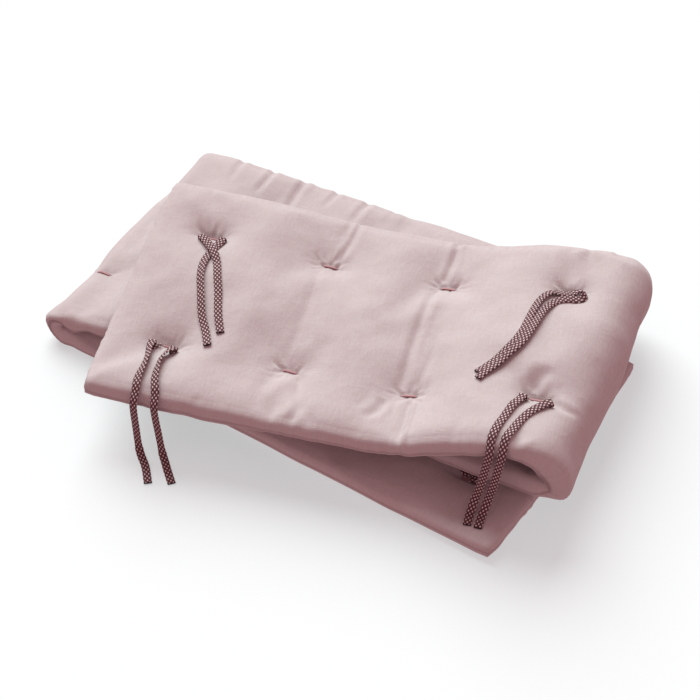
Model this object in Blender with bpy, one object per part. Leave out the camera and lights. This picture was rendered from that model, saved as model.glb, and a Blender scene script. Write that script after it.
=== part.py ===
"""A padded cot bumper, folded in three like a fan, with its flat tape ties.

The bumper is one long quilted strip.  A point of it is known by its place along the strip (s,
from the free end on top), its place across it (t, towards the back) and its face: the upper
face carries the ties.  The strip is folded twice, each fold a little askew, so that the three
layers fan out: the top layer, the middle layer under it, and the bottom layer on the floor.
Metres, +Z up, the middle layer along X, and the origin under the middle of the folded strip.
"""
import math

import bmesh
import bpy
import numpy as np
from mathutils import Vector
from mathutils.bvhtree import BVHTree

# ---------------------------------------------------------------- the strip
STRIP_WIDTH = 0.300
TACK_PITCH = 0.129
TACK_COLUMNS = 13
END_MARGIN = 0.066
STRIP_LENGTH = (TACK_COLUMNS - 1) * TACK_PITCH + 2 * END_MARGIN
TACK_ROW = 0.078
# where the sewn tacks of the top layer sit off the even pattern: (column, row): (along, across)
TACK_SHIFT = {
    (0, 1): (-0.002, 0.005),
    (0, -1): (0.000, 0.007),
    (1, 1): (0.000, -0.002),
    (2, -1): (-0.003, -0.003),
    (3, 1): (0.004, 0.005),
    (3, -1): (-0.001, 0.004),
}

# ---------------------------------------------------------------- the folds
PATH_REACH = 0.75
PATH_POINTS = 6001
SURFACE_STEP = 0.002
RIGHT_FOLD_AT = 0.5365
LEFT_FOLD_AT = 1.1205
RIGHT_FOLD_SKEW = math.radians(5.5)
LEFT_FOLD_SKEW = math.radians(-3.7)
MIDDLE_HEIGHT = 0.0373
BOTTOM_HEIGHT = 0.0110
# turns of the strip's path about the right fold: from, to (along the path), turn in degrees
RIGHT_BENDS = (
    (-0.460, -0.300, -0.7),   # the free end, nearly level
    (-0.270, -0.150, 17.5),   # the rise towards the fold
    (-0.145, -0.075, -12.5),  # the crest
    (-0.075, 0.012, -99.3),   # over the top of the roll
    (0.006, 0.028, -85.0),    # the tight turn at its foot
)
LEFT_BENDS = (
    (-0.0250, 0.0050, 90.0),
    (-0.0050, 0.0250, 90.0),
)
# soft lifts of the top layer: along, across, reach along, reach across, height
TOP_LIFTS = (
    (0.030, 0.120, 0.130, 0.110, 0.0136),
    (0.450, -0.110, 0.080, 0.100, 0.0058),
)
# where the middle of the folded strip lies, seen from the right fold
FOLDED_MIDDLE = (-0.2932, -0.0492)

# ---------------------------------------------------------------- the filling
# half thickness at the crown, by layer from the top: upper face, lower face
CROWN = ((0.0145, 0.0125), (0.0110, 0.0125), (0.0110, BOTTOM_HEIGHT))
EDGE_HALF = 0.0088
CROWN_REACH = 0.060
RIM = 0.0085
TACK_DEPTH = 0.72
TACK_REACH = 0.026
TACK_SHARPNESS = 1.3
VALLEY_DEPTH = 0.22
VALLEY_REACH = 0.020
EDGE_DRAW = 0.0025
END_BULGE = 0.004
END_REACH = 0.1
FOLD_SQUEEZE = 0.42
FOLD_REACH = 0.030

# ---------------------------------------------------------------- the grid of its faces
# lines beside a tack column of the top layer, in pitches from it
TOP_LINES = (-0.25, -0.10, 0.0, 0.10, 0.25, 0.50)
END_STEP = 0.022
PLAIN_STEP = TACK_PITCH / 4
RIGHT_FOLD_STEP = 0.0088
RIGHT_FOLD_FROM = RIGHT_FOLD_AT - 0.045
RIGHT_FOLD_TO = RIGHT_FOLD_AT + 0.052
LEFT_FOLD_STEP = 0.0045
LEFT_FOLD_FROM = END_MARGIN + 8 * TACK_PITCH
LEFT_FOLD_TO = LEFT_FOLD_AT + 0.040
ROW_LINES = (0.026, 0.052, 0.067, TACK_ROW, 0.089, 0.104, 0.125)
RIM_LEVEL = 0.62

# ---------------------------------------------------------------- the ties
TAPE_WIDTH = 0.0085
TAPE_THICK = 0.0015
KNOT_WIDTH = 0.0050
KNOT_THICK = 0.0024
KNOT_REACH = 0.022
TAPE_STEP = 0.0085
TAPE_GAP = 0.0006
# how far from the strip's face a tape looks for the cloth: on top, and between the layers
SEEK_OPEN = 0.006
SEEK_BETWEEN = 0.0028
# half the gap between the middles of a hidden tie's two ends: at the tack, then further on
TWIN_START = 0.0032
TWIN_BEYOND = 0.0058
TWIN_ACROSS = 0.012

FABRIC_COLOUR = (0.66, 0.50, 0.49, 1.0)
TAPE_COLOUR = (0.23, 0.11, 0.13, 1.0)

# Routes of the tie ends, each from its tack outwards.  "cloth" rows lie on the strip's upper
# face: along, across, height above it.  "hang" and "floor" rows are places: x, y, z.
TIES = {
    "tie_1_back_over": (
        ("cloth", 0.0630, 0.083, 0.001),
        ("cloth", 0.0545, 0.083, 0.003),
        ("cloth", 0.0510, 0.077, 0.006),
        ("cloth", 0.0560, 0.070, 0.006),
        ("cloth", 0.0650, 0.062, 0.005),
        ("cloth", 0.0755, 0.051, 0.004),
        ("cloth", 0.0835, 0.037, 0.000),
        ("cloth", 0.0890, 0.020, 0.000),
        ("cloth", 0.0950, 0.003, 0.000),
        ("cloth", 0.1010, -0.015, 0.000),
        ("cloth", 0.1070, -0.032, 0.000),
        ("cloth", 0.1160, -0.054, 0.000),
    ),
    "tie_1_back_under": (
        ("cloth", 0.0650, 0.083, 0.001),
        ("cloth", 0.0740, 0.083, 0.003),
        ("cloth", 0.0790, 0.077, 0.005),
        ("cloth", 0.0790, 0.067, 0.002),
        ("cloth", 0.0755, 0.056, 0.000),
        ("cloth", 0.0700, 0.045, 0.000),
        ("cloth", 0.0695, 0.030, 0.000),
        ("cloth", 0.0735, 0.012, 0.000),
        ("cloth", 0.0820, -0.012, 0.000),
        ("cloth", 0.0900, -0.034, 0.000),
        ("cloth", 0.1000, -0.054, 0.000),
        ("cloth", 0.1080, -0.073, 0.000),
    ),
    "tie_1_front_left": (
        ("cloth", 0.0650, -0.071, 0.001),
        ("cloth", 0.0560, -0.072, 0.003),
        ("cloth", 0.0510, -0.078, 0.006),
        ("cloth", 0.0505, -0.087, 0.003),
        ("cloth", 0.0520, -0.099, 0.000),
        ("cloth", 0.0535, -0.116, 0.000),
        ("cloth", 0.0535, -0.132, 0.001),
        ("cloth", 0.0550, -0.143, 0.002),
        ("hang", -0.1358, -0.1940, 0.0690),
        ("hang", -0.1352, -0.1958, 0.0520),
        ("hang", -0.1345, -0.1960, 0.0320),
        ("hang", -0.1335, -0.1968, 0.0140),
        ("floor", -0.1300, -0.2005, 0.0030),
        ("floor", -0.1240, -0.2065, 0.0013),
        ("floor", -0.1150, -0.2150, 0.0013),
        ("floor", -0.1018, -0.2328, 0.0013),
    ),
    "tie_1_front_right": (
        ("cloth", 0.0670, -0.071, 0.001),
        ("cloth", 0.0750, -0.072, 0.004),
        ("cloth", 0.0775, -0.079, 0.006),
        ("cloth", 0.0720, -0.085, 0.003),
        ("cloth", 0.0670, -0.097, 0.000),
        ("cloth", 0.0675, -0.113, 0.000),
        ("cloth", 0.0710, -0.131, 0.001),
        ("cloth", 0.0755, -0.143, 0.002),
        ("hang", -0.1145, -0.1900, 0.0690),
        ("hang", -0.1130, -0.1915, 0.0520),
        ("hang", -0.1110, -0.1918, 0.0320),
        ("hang", -0.1090, -0.1925, 0.0140),
        ("floor", -0.1055, -0.1955, 0.0030),
        ("floor", -0.1000, -0.2010, 0.0013),
        ("floor", -0.0930, -0.2090, 0.0013),
        ("floor", -0.0800, -0.2228, 0.0013),
    ),
    "tie_4_back_right": (
        ("cloth", 0.4580, 0.083, 0.001),
        ("cloth", 0.4680, 0.083, 0.003),
        ("cloth", 0.4720, 0.076, 0.006),
        ("cloth", 0.4660, 0.069, 0.006),
        ("cloth", 0.4560, 0.066, 0.002),
        ("cloth", 0.4450, 0.059, 0.000),
        ("cloth", 0.4375, 0.043, 0.000),
        ("cloth", 0.4330, 0.020, 0.000),
        ("cloth", 0.4300, 0.000, 0.000),
        ("cloth", 0.4255, -0.020, 0.000),
        ("cloth", 0.4150, -0.036, 0.000),
        ("cloth", 0.4030, -0.052, 0.000),
    ),
    "tie_4_back_left": (
        ("cloth", 0.4560, 0.083, 0.001),
        ("cloth", 0.4460, 0.081, 0.003),
        ("cloth", 0.4350, 0.072, 0.001),
        ("cloth", 0.4260, 0.057, 0.000),
        ("cloth", 0.4210, 0.037, 0.000),
        ("cloth", 0.4190, 0.018, 0.000),
        ("cloth", 0.4170, -0.002, 0.000),
        ("cloth", 0.4110, -0.018, 0.000),
        ("cloth", 0.4010, -0.033, 0.000),
        ("cloth", 0.3910, -0.049, 0.000),
        ("cloth", 0.3820, -0.066, 0.000),
    ),
    "tie_4_front_left": (
        ("cloth", 0.4510, -0.074, 0.001),
        ("cloth", 0.4440, -0.076, 0.004),
        ("cloth", 0.4375, -0.083, 0.006),
        ("cloth", 0.4335, -0.096, 0.002),
        ("cloth", 0.4285, -0.116, 0.000),
        ("cloth", 0.4250, -0.132, 0.001),
        ("cloth", 0.4230, -0.143, 0.002),
        ("hang", 0.2205, -0.1238, 0.0990),
        ("hang", 0.2185, -0.1255, 0.0800),
        ("hang", 0.2160, -0.1260, 0.0600),
        ("hang", 0.2130, -0.1265, 0.0420),
        ("hang", 0.2105, -0.1280, 0.0290),
        ("cloth", 1.6412, -0.1200, 0.001),
        ("cloth", 1.6468, -0.1360, 0.000),
    ),
    "tie_4_front_right": (
        ("cloth", 0.4530, -0.074, 0.001),
        ("cloth", 0.4620, -0.077, 0.004),
        ("cloth", 0.4640, -0.085, 0.006),
        ("cloth", 0.4560, -0.094, 0.003),
        ("cloth", 0.4470, -0.108, 0.000),
        ("cloth", 0.4400, -0.127, 0.001),
        ("cloth", 0.4355, -0.143, 0.002),
        ("hang", 0.2325, -0.1218, 0.1000),
        ("hang", 0.2305, -0.1238, 0.0800),
        ("hang", 0.2280, -0.1245, 0.0600),
        ("hang", 0.2250, -0.1250, 0.0420),
        ("hang", 0.2228, -0.1268, 0.0290),
        ("cloth", 1.6530, -0.1170, 0.001),
        ("cloth", 1.6580, -0.1340, 0.000),
    ),
}
# Ties that lie between the layers, plainly: column, row, how far the ends run along and across
HIDDEN_TIES = (
    (6, 1, -0.135, 0.000),
    (6, -1, -0.135, 0.000),
    (9, 1, 0.135, 0.000),
    (9, -1, 0.135, 0.000),
    (12, 1, -0.135, 0.000),
    (12, -1, -0.015, 0.120),
)


def smooth(x):
    """A soft step from 0 to 1."""
    x = min(max(x, 0.0), 1.0)
    return x * x * (3.0 - 2.0 * x)


def bump(x):
    """A soft hump, 1 at 0 and nearly 0 past 2."""
    return math.exp(-x * x)


# ---------------------------------------------------------------- the folded middle surface
def fold_path(bends, start_turn):
    """The strip's path across a fold: distance along it, then how far out and how far up."""
    along = np.linspace(-PATH_REACH, PATH_REACH, PATH_POINTS)
    turn = np.full(len(along), math.radians(start_turn))
    for begin, end, degrees in bends:
        x = np.clip((along - begin) / (end - begin), 0.0, 1.0)
        turn += math.radians(degrees) * x * x * (3.0 - 2.0 * x)
    step = along[1] - along[0]
    out = np.concatenate(([0.0], np.cumsum(np.cos((turn[1:] + turn[:-1]) / 2)) * step))
    up = np.concatenate(([0.0], np.cumsum(np.sin((turn[1:] + turn[:-1]) / 2)) * step))
    return along, out, up


def make_right_fold():
    """The path over the right fold, ending level in the middle layer."""
    along, out, up = fold_path(RIGHT_BENDS, 0.0)
    return along, out - out[-1] - along[-1], up - up[-1] + MIDDLE_HEIGHT


def make_left_fold():
    """The path down the left fold, from the middle layer to the bottom one."""
    along, out, up = fold_path(LEFT_BENDS, 0.0)
    drop = up[-1] - up[0]
    return along, out - out[0] + along[0], MIDDLE_HEIGHT - up * (MIDDLE_HEIGHT - BOTTOM_HEIGHT) / drop


RIGHT_PATH = make_right_fold()
LEFT_PATH = make_left_fold()


def middle(s, t):
    """The point of the strip's middle surface at s along and t across."""
    if s < (RIGHT_FOLD_AT + LEFT_FOLD_AT) / 2:
        fold_at, skew, path, out_x, shift = RIGHT_FOLD_AT, RIGHT_FOLD_SKEW, RIGHT_PATH, 1.0, 0.0
    else:
        fold_at, skew, path, out_x, shift = LEFT_FOLD_AT, LEFT_FOLD_SKEW, LEFT_PATH, -1.0, 1.0
    cos, sin = math.cos(skew), math.sin(skew)
    along = (s - fold_at) * cos - t * sin
    crease = (s - fold_at) * sin + t * cos
    out = out_x * float(np.interp(along, path[0], path[1]))
    height = float(np.interp(along, path[0], path[2]))
    for at_s, at_t, reach_s, reach_t, lift in TOP_LIFTS:
        height += lift * bump((s - at_s) / reach_s) * bump((t - at_t) / reach_t)
    x = out * cos - crease * sin - shift * (LEFT_FOLD_AT - RIGHT_FOLD_AT)
    y = out * sin + crease * cos
    return Vector((x - FOLDED_MIDDLE[0], y - FOLDED_MIDDLE[1], height))


def upper_normal(s, t):
    """The unit normal of the strip's upper face."""
    along = middle(s + SURFACE_STEP, t) - middle(s - SURFACE_STEP, t)
    across = middle(s, t + SURFACE_STEP) - middle(s, t - SURFACE_STEP)
    return along.cross(across).normalized()


# ---------------------------------------------------------------- the filled body
def tacks():
    """The sewn tacks: column, row, place along, place across."""
    for column in range(TACK_COLUMNS):
        for row in (-1, 1):
            shift = TACK_SHIFT.get((column, row), (0.0, 0.0))
            yield column, row, END_MARGIN + column * TACK_PITCH + shift[0], row * TACK_ROW + shift[1]


def by_layer(s, face):
    """The crown of a face, blended from layer to layer across the folds."""
    top, mid, low = (layer[face] for layer in CROWN)
    first = smooth((s - RIGHT_FOLD_AT) / FOLD_REACH + 0.5)
    second = smooth((s - LEFT_FOLD_AT) / FOLD_REACH)
    return top + (mid - top) * first + (low - mid) * second


def half_thickness(s, t, face):
    """Half the filled strip's thickness towards its upper face (0) or its lower face (1)."""
    edge = min(s, STRIP_LENGTH - s, STRIP_WIDTH / 2 - abs(t))
    crown = by_layer(s, face)
    half = EDGE_HALF + (crown - EDGE_HALF) * smooth(edge / CROWN_REACH)
    column = (s - END_MARGIN) / TACK_PITCH
    from_column = abs(column - round(column)) * TACK_PITCH
    half *= 1.0 - VALLEY_DEPTH * bump(from_column / VALLEY_REACH) * smooth(edge / CROWN_REACH)
    for _, _, at_s, at_t in tacks():
        off = math.hypot(s - at_s, t - at_t)
        if off < 4 * TACK_REACH:
            half *= 1.0 - TACK_DEPTH * math.exp(-((off / TACK_REACH) ** TACK_SHARPNESS))
    inner = (
        bump((s - LEFT_FOLD_AT) / FOLD_REACH) if face == 0
        else bump((s - RIGHT_FOLD_AT) / FOLD_REACH)
    )
    half *= 1.0 - FOLD_SQUEEZE * inner
    if face == 1:
        on_floor = smooth((s - LEFT_FOLD_AT) / FOLD_REACH)
        half += (BOTTOM_HEIGHT - half) * on_floor
    return half


def drawn_in(s, t):
    """The strip's place with its long edges drawn in beside the tacks and its ends bulging."""
    column = (s - END_MARGIN) / TACK_PITCH
    from_column = abs(column - round(column)) * TACK_PITCH
    across = t * (1.0 - 2 * EDGE_DRAW / STRIP_WIDTH * bump(from_column / VALLEY_REACH))
    flat = 1.0 - (2 * t / STRIP_WIDTH) ** 2
    near_start = smooth(1.0 - s / END_REACH)
    near_end = smooth(1.0 - (STRIP_LENGTH - s) / END_REACH)
    return s + END_BULGE * flat * (near_end - near_start), across


def body_point(s, t, level):
    """A point of the filled strip: level runs from 1, the upper face, to -1, the lower one."""
    inset = RIM * (1.0 - math.sqrt(max(0.0, 1.0 - level * level)))
    s_in = min(max(s, inset), STRIP_LENGTH - inset)
    t_in = min(max(t, inset - STRIP_WIDTH / 2), STRIP_WIDTH / 2 - inset)
    half = half_thickness(s_in, t_in, 0 if level > 0 else 1)
    s_in, t_in = drawn_in(s_in, t_in)
    return middle(s_in, t_in) + upper_normal(s_in, t_in) * (half * level)


def stations():
    """Places along the strip where its grid has a line: closer by the top tacks and in the folds."""
    for column in range(4):
        for line in TOP_LINES:
            place = END_MARGIN + (column + line) * TACK_PITCH
            if place < RIGHT_FOLD_FROM - END_STEP / 4:
                yield place
    stops = (
        (RIGHT_FOLD_FROM, RIGHT_FOLD_STEP),
        (RIGHT_FOLD_TO, PLAIN_STEP),
        (END_MARGIN + 5 * TACK_PITCH, PLAIN_STEP),
        (LEFT_FOLD_FROM, LEFT_FOLD_STEP),
        (LEFT_FOLD_TO, END_STEP),
        (END_MARGIN + 9 * TACK_PITCH, PLAIN_STEP),
        (END_MARGIN + 12 * TACK_PITCH, END_STEP),
        (STRIP_LENGTH, END_STEP),
    )
    for (begin, step), (end, _) in zip(stops, stops[1:]):
        count = round((end - begin) / step)
        for i in range(count):
            yield begin + (end - begin) * i / count


def rows():
    """Places across the strip where its grid has a line."""
    for t in ROW_LINES:
        yield t
        yield -t
    yield 0.0


def cut_bar(size_low, size_high, cuts):
    """A box between two corners, cut across each axis at the places given for it."""
    bm = bmesh.new()
    bmesh.ops.create_cube(bm, size=1.0)
    for v in bm.verts:
        v.co = Vector(
            low + (high - low) * (c + 0.5) for low, high, c in zip(size_low, size_high, v.co)
        )
    for axis, places in enumerate(cuts):
        normal = Vector((0.0, 0.0, 0.0))
        normal[axis] = 1.0
        for place in places:
            if size_low[axis] + 1e-6 < place < size_high[axis] - 1e-6:
                everything = bm.verts[:] + bm.edges[:] + bm.faces[:]
                bmesh.ops.bisect_plane(
                    bm, geom=everything, dist=1e-7, plane_co=normal * place, plane_no=normal
                )
    return bm


def finish_object(bm, name, material, collection):
    """Make the mesh an object of its own."""
    mesh = bpy.data.meshes.new(name)
    bm.to_mesh(mesh)
    bm.free()
    mesh.materials.append(material)
    mesh.shade_smooth()
    piece = bpy.data.objects.new(name, mesh)
    collection.objects.link(piece)
    return piece


def make_pad(material, collection):
    """The filled strip: a long flat bar, cut into a grid and bent along the folds."""
    bm = cut_bar(
        (0.0, -STRIP_WIDTH / 2, -1.0), (STRIP_LENGTH, STRIP_WIDTH / 2, 1.0),
        (list(stations()), list(rows()), (-RIM_LEVEL, 0.0, RIM_LEVEL)),
    )
    for v in bm.verts:
        v.co = body_point(*v.co)
        if v.co.z < 1e-5:
            v.co.z = 0.0
    return finish_object(bm, "pad", material, collection)


# ---------------------------------------------------------------- the ties
def hidden_tie(column, row, side, ahead, aside):
    """The route of a tie end between the layers, beside its twin."""
    s = END_MARGIN + column * TACK_PITCH
    t = row * TACK_ROW
    if aside:
        route = [("cloth", s + 0.1 * TWIN_ACROSS * side, t, 0.0005)]
        route.append(("cloth", s + 0.75 * TWIN_ACROSS * side, t, 0.002))
        for share in (0.07, 0.25, 0.50, 0.75, 1.0):
            beside = TWIN_ACROSS * side
            route.append(("cloth", s + share * ahead + beside, t + share * aside, 0.0))
        return route
    route = [("cloth", s, t + TWIN_START * side, 0.0)]
    for share in (0.07, 0.20, 0.40, 0.60, 0.80, 1.0):
        beside = (TWIN_START + (TWIN_BEYOND - TWIN_START) * smooth(share / 0.1)) * side
        route.append(("cloth", s + share * ahead, t + beside, 0.0))
    return route


def between(values, u):
    """A smooth curve through the values (Catmull-Rom), read at u, with whole u at the values."""
    i = min(int(u), len(values) - 2)
    x = u - i
    before, begin, end = values[max(i - 1, 0)], values[i], values[i + 1]
    after = values[min(i + 2, len(values) - 1)]
    return 0.5 * (
        2 * begin + (end - before) * x + (2 * before - 5 * begin + 4 * end - after) * x ** 2
        + (3 * begin - before - 3 * end + after) * x ** 3
    )


def top_of_cloth(cloth, point, normal, reaches):
    """How far the made cloth stands above a point, under the whole width of the tape."""
    clear = SEEK_OPEN if point.z > MIDDLE_HEIGHT + BOTTOM_HEIGHT else SEEK_BETWEEN
    highest = -clear
    for reach in reaches:
        hit = cloth.ray_cast(point + reach + normal * clear, -normal, 2 * clear)
        if hit[0] is not None:
            highest = max(highest, clear - hit[3])
    return highest


def row_place(row):
    """A route's row as a point and the way its tape faces."""
    kind, a, b, c = row
    if kind == "cloth":
        normal = upper_normal(a, b)
        return middle(a, b) + normal * (half_thickness(a, b, 0) + c), normal
    facing = Vector((0.0, -1.0, 0.15)) if kind == "hang" else Vector((0.0, 0.0, 1.0))
    return Vector((a, b, c)), facing.normalized()


def tape_sections(route, cloth):
    """The tape's sections along its route: centre, side, facing, width and thickness."""
    places = [row_place(row) for row in route]
    points = [place[0] for place in places]
    facings = [place[1] for place in places]
    fine = [u / 20 for u in range(20 * (len(route) - 1) + 1)]
    line = [between(points, u) for u in fine]
    run = [0.0]
    for begin, end in zip(line, line[1:]):
        run.append(run[-1] + (end - begin).length)
    count = max(6, round(run[-1] / TAPE_STEP))
    for k in range(count + 1):
        done = run[-1] * k / count
        u = float(np.interp(done, run, fine))
        point, facing = between(points, u), between(facings, u).normalized()
        ahead = (between(points, min(u + 0.02, fine[-1])) - between(points, max(u - 0.02, 0.0)))
        ahead.normalize()
        side = facing.cross(ahead).normalized()
        facing = ahead.cross(side).normalized()
        full = smooth(done / KNOT_REACH)
        width = KNOT_WIDTH + (TAPE_WIDTH - KNOT_WIDTH) * full
        thick = KNOT_THICK + (TAPE_THICK - KNOT_THICK) * full
        i = min(int(u), len(route) - 2)
        if route[i][0] == "cloth" and route[i + 1][0] == "cloth":
            first, last = i, i + 1
            while first and route[first - 1][0] == "cloth":
                first -= 1
            while last + 1 < len(route) and route[last + 1][0] == "cloth":
                last += 1
            stretch = [Vector(row[1:]) for row in route[first:last + 1]]
            s, t, height = between(stretch, u - first)
            normal = upper_normal(s, t)
            point = middle(s, t) + normal * half_thickness(s, t, 0)
            reaches = [
                side * (a * width / 4) + ahead * (b * TAPE_STEP / 4)
                for a in range(-2, 3) for b in range(-2, 3)
            ]
            standing = top_of_cloth(cloth, point, normal, reaches)
            point += normal * (standing + TAPE_GAP + thick / 2 + max(height, 0.0))
            facing = normal
            side = facing.cross(ahead).normalized()
        yield point, side, facing, width, thick


def make_tape(name, route, cloth, material, collection):
    """One free end of a tie: a flat bar, cut into short lengths and bent along its route."""
    sections = list(tape_sections(route, cloth))
    last = len(sections) - 1
    bm = cut_bar((0.0, -0.5, -0.5), (last, 0.5, 0.5), (range(1, last), (), ()))
    for v in bm.verts:
        point, side, facing, width, thick = sections[round(v.co.x)]
        v.co = point + side * (v.co.y * width) + facing * (v.co.z * thick)
    return finish_object(bm, name, material, collection)


# ---------------------------------------------------------------- the whole object
def plain_material(name, colour, roughness):
    """A cloth finish of one colour."""
    material = bpy.data.materials.new(name)
    material.use_nodes = True
    shader = material.node_tree.nodes["Principled BSDF"]
    shader.inputs["Base Color"].default_value = colour
    shader.inputs["Roughness"].default_value = roughness
    shader.inputs["Metallic"].default_value = 0.0
    return material


def main():
    for piece in list(bpy.data.objects):
        bpy.data.objects.remove(piece, do_unlink=True)
    collection = bpy.data.collections.new("cot_bumper")
    bpy.context.scene.collection.children.link(collection)
    cotton = plain_material("pad_cotton", FABRIC_COLOUR, 0.9)
    tape = plain_material("tie_tape", TAPE_COLOUR, 0.85)
    pad = make_pad(cotton, collection)
    pad.data.calc_loop_triangles()
    cloth = BVHTree.FromPolygons(
        [v.co for v in pad.data.vertices], [tuple(t.vertices) for t in pad.data.loop_triangles]
    )
    for name, route in TIES.items():
        make_tape(name, route, cloth, tape, collection)
    for column, row, ahead, aside in HIDDEN_TIES:
        for side in (-1, 1):
            name = f"tie_{column + 1}_{'back' if row > 0 else 'front'}_{'b' if side > 0 else 'a'}"
            route = hidden_tie(column, row, side, ahead, aside)
            make_tape(name, route, cloth, tape, collection)


main()
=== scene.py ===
"""The looks of a padded cot bumper, folded in three like a fan, with its dotted tape ties.

The cover is blown up flat, held down by its sewn tacks, and is then laid along the folds.  A
point of the strip is known by its place along it (s, from the free end on top), its place
across it (t, towards the back) and its face: the upper face carries the ties.
Metres, in the frame's own axes.
"""
import math

import bpy
import numpy as np
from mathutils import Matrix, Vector
from mathutils.bvhtree import BVHTree

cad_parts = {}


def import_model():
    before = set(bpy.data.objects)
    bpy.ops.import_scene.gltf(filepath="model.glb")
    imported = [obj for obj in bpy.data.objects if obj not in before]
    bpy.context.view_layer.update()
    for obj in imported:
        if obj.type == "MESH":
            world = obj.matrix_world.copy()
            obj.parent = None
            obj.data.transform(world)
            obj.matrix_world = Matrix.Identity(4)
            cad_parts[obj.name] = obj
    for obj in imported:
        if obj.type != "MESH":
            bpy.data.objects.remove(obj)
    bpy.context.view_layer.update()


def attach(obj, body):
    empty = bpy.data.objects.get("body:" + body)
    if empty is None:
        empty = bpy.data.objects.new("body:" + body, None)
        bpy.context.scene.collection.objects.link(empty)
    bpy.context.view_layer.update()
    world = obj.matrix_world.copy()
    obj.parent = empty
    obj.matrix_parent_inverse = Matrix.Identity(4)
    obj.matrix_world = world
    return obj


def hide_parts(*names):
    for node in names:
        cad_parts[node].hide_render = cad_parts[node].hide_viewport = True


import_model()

# ---------------------------------------------------------------- the strip
STRIP_WIDTH = 0.300
TACK_PITCH = 0.129
TACK_COLUMNS = 13
END_MARGIN = 0.066
STRIP_LENGTH = (TACK_COLUMNS - 1) * TACK_PITCH + 2 * END_MARGIN
TACK_ROW = 0.078
TIE_COLUMNS = (0, 3, 6, 9, 12)
# where the sewn tacks of the top layer sit off the even pattern: (column, row): (along, across)
TACK_SHIFT = {
    (0, 1): (-0.002, 0.005),
    (0, -1): (0.000, 0.007),
    (1, 1): (0.000, 0.001),
    (1, -1): (0.000, 0.003),
    (2, 1): (0.000, 0.003),
    (2, -1): (-0.003, 0.000),
    (8, -1): (0.006, 0.005),
    (3, 1): (0.004, 0.005),
    (3, -1): (-0.001, 0.004),
}

# ---------------------------------------------------------------- the folds
# the strip's path over a fold: how far it goes each way, and how finely it is worked out
PATH_REACH = 0.75
PATH_POINTS = 6001
SURFACE_STEP = 0.002
# where the folds are along the strip, and how far they are off square
RIGHT_FOLD_AT = 0.5365
LEFT_FOLD_AT = 1.1205
FOLDS_PART_AT = (RIGHT_FOLD_AT + LEFT_FOLD_AT) / 2
RIGHT_FOLD_SKEW = math.radians(5.5)
LEFT_FOLD_SKEW = math.radians(-3.7)
# how high the middle and the bottom layer lie
MIDDLE_HEIGHT = 0.0373
BOTTOM_HEIGHT = 0.0110
# turns of the strip's path about a fold: from, to (along the path), turn in degrees
RIGHT_BENDS = (
    (-0.460, -0.300, -0.7),
    (-0.270, -0.150, 17.5),
    (-0.145, -0.075, -12.5),
    (-0.075, 0.012, -99.3),
    (0.006, 0.028, -85.0),
)
LEFT_BENDS = (
    (-0.0250, 0.0050, 90.0),
    (-0.0050, 0.0250, 90.0),
)
# soft lifts of the top layer: along, across, reach along, reach across, height
TOP_LIFTS = (
    (0.030, 0.120, 0.130, 0.110, 0.0136),
    (0.450, -0.110, 0.080, 0.100, 0.0058),
)
# what is taken off x and y to bring the folded pad to its place in the frame
FOLDED_MIDDLE = (-0.2932, -0.0492)

# ---------------------------------------------------------------- the cover and its filling
# half thickness at the crown, by layer from the top: upper face, lower face
CROWN = ((0.0145, 0.0125), (0.0110, 0.0125), (0.0110, BOTTOM_HEIGHT))
# half thickness of the flat cover: at its crown, near its rim, and how far in the crown starts
COVER_CROWN = 0.0118
EDGE_HALF = 0.0088
CROWN_REACH = 0.060
# how far the rim stands out past the two faces, and over how much the flat cover thins to it
RIM = 0.0085
EDGE_ROUND = 0.6 * RIM
# how the filling is drawn in round a tack
TACK_DEPTH = 0.72
TACK_REACH = 0.026
TACK_SHARPNESS = 1.3
# the valley across the strip from tack to tack: where the tapes lie, and in the cover
VALLEY_DEPTH = 0.22
COVER_VALLEY = 0.10
VALLEY_REACH = 0.020
# the middle of the strip's two free ends stands out a little
END_BULGE = 0.004
END_REACH = 0.1
# the squeeze inside a fold, the gap left between two layers, and the thinnest place
FOLD_SQUEEZE = 0.42
FOLD_REACH = 0.030
FOLD_TURN = 0.02
LAYER_GAP = 0.0030
LIMIT_EASE = 0.0012
THINNEST = 0.0015

# Changes to the filling, listed one by one.  A place along the strip is a middle and a reach; a step
# is where it starts and how long it takes.
# the top layer's front edge is fuller, up to the right fold
FRONT_FULLER = 0.12
FULLER_STEP = (0.095, 0.045)
FULLER_UP_TO = (0.50, 0.06)
# the outer side of the right fold is flatter, by place across the strip, from front to back
RIGHT_FLAT_AT = (-0.150, -0.125, -0.097, -0.070, -0.042, -0.015, 0.040, 0.065, 0.100, 0.140)
RIGHT_FLAT = (0.60, 0.90, 0.98, 0.94, 0.76, 0.60, 0.36, 0.28, 0.16, -0.02)
RIGHT_FLAT_PLACE = (0.512, 0.038)
# the outer side of the left fold is flatter, with a pinched nose and a full lower corner in front
LEFT_FLAT = 0.60
LEFT_FLAT_PLACE = (1.108, 0.030)
LEFT_FLAT_FRONT = 0.1
NOSE_BACK = 0.0045
NOSE_PLACE = (1.115, 0.010)
CORNER_FULLER = 0.0075
CORNER_PLACE = (1.129, 0.008)
# the top layer's front edge hangs lower at its free end
FRONT_DROP = 0.0035
DROP_STEP = (0.08, 0.05)
DROP_UP_TO = (0.28, 0.14)

# the inflation of the cover: the size of its squares, how many frames it takes, how much larger
# the cloth is cut, how hard the filling presses, how loosely the cloth is held, how stiffly it
# bends, and how finely each frame is worked out
COVER_STEP = 0.005
COVER_FRAMES = 20
COVER_OVERSIZE = 0.006
COVER_PRESSURE = 3.0
COVER_HOLD = 0.10
COVER_BENDING = 20.0
COVER_QUALITY = 5
# how far the cloth may move from the even filling, half the thickness left at a tack, and how
# near a tack the cloth is held
COVER_CAP = 0.006
TACK_HALF = 0.0030
HELD_REACH = 0.75 * COVER_STEP
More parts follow.
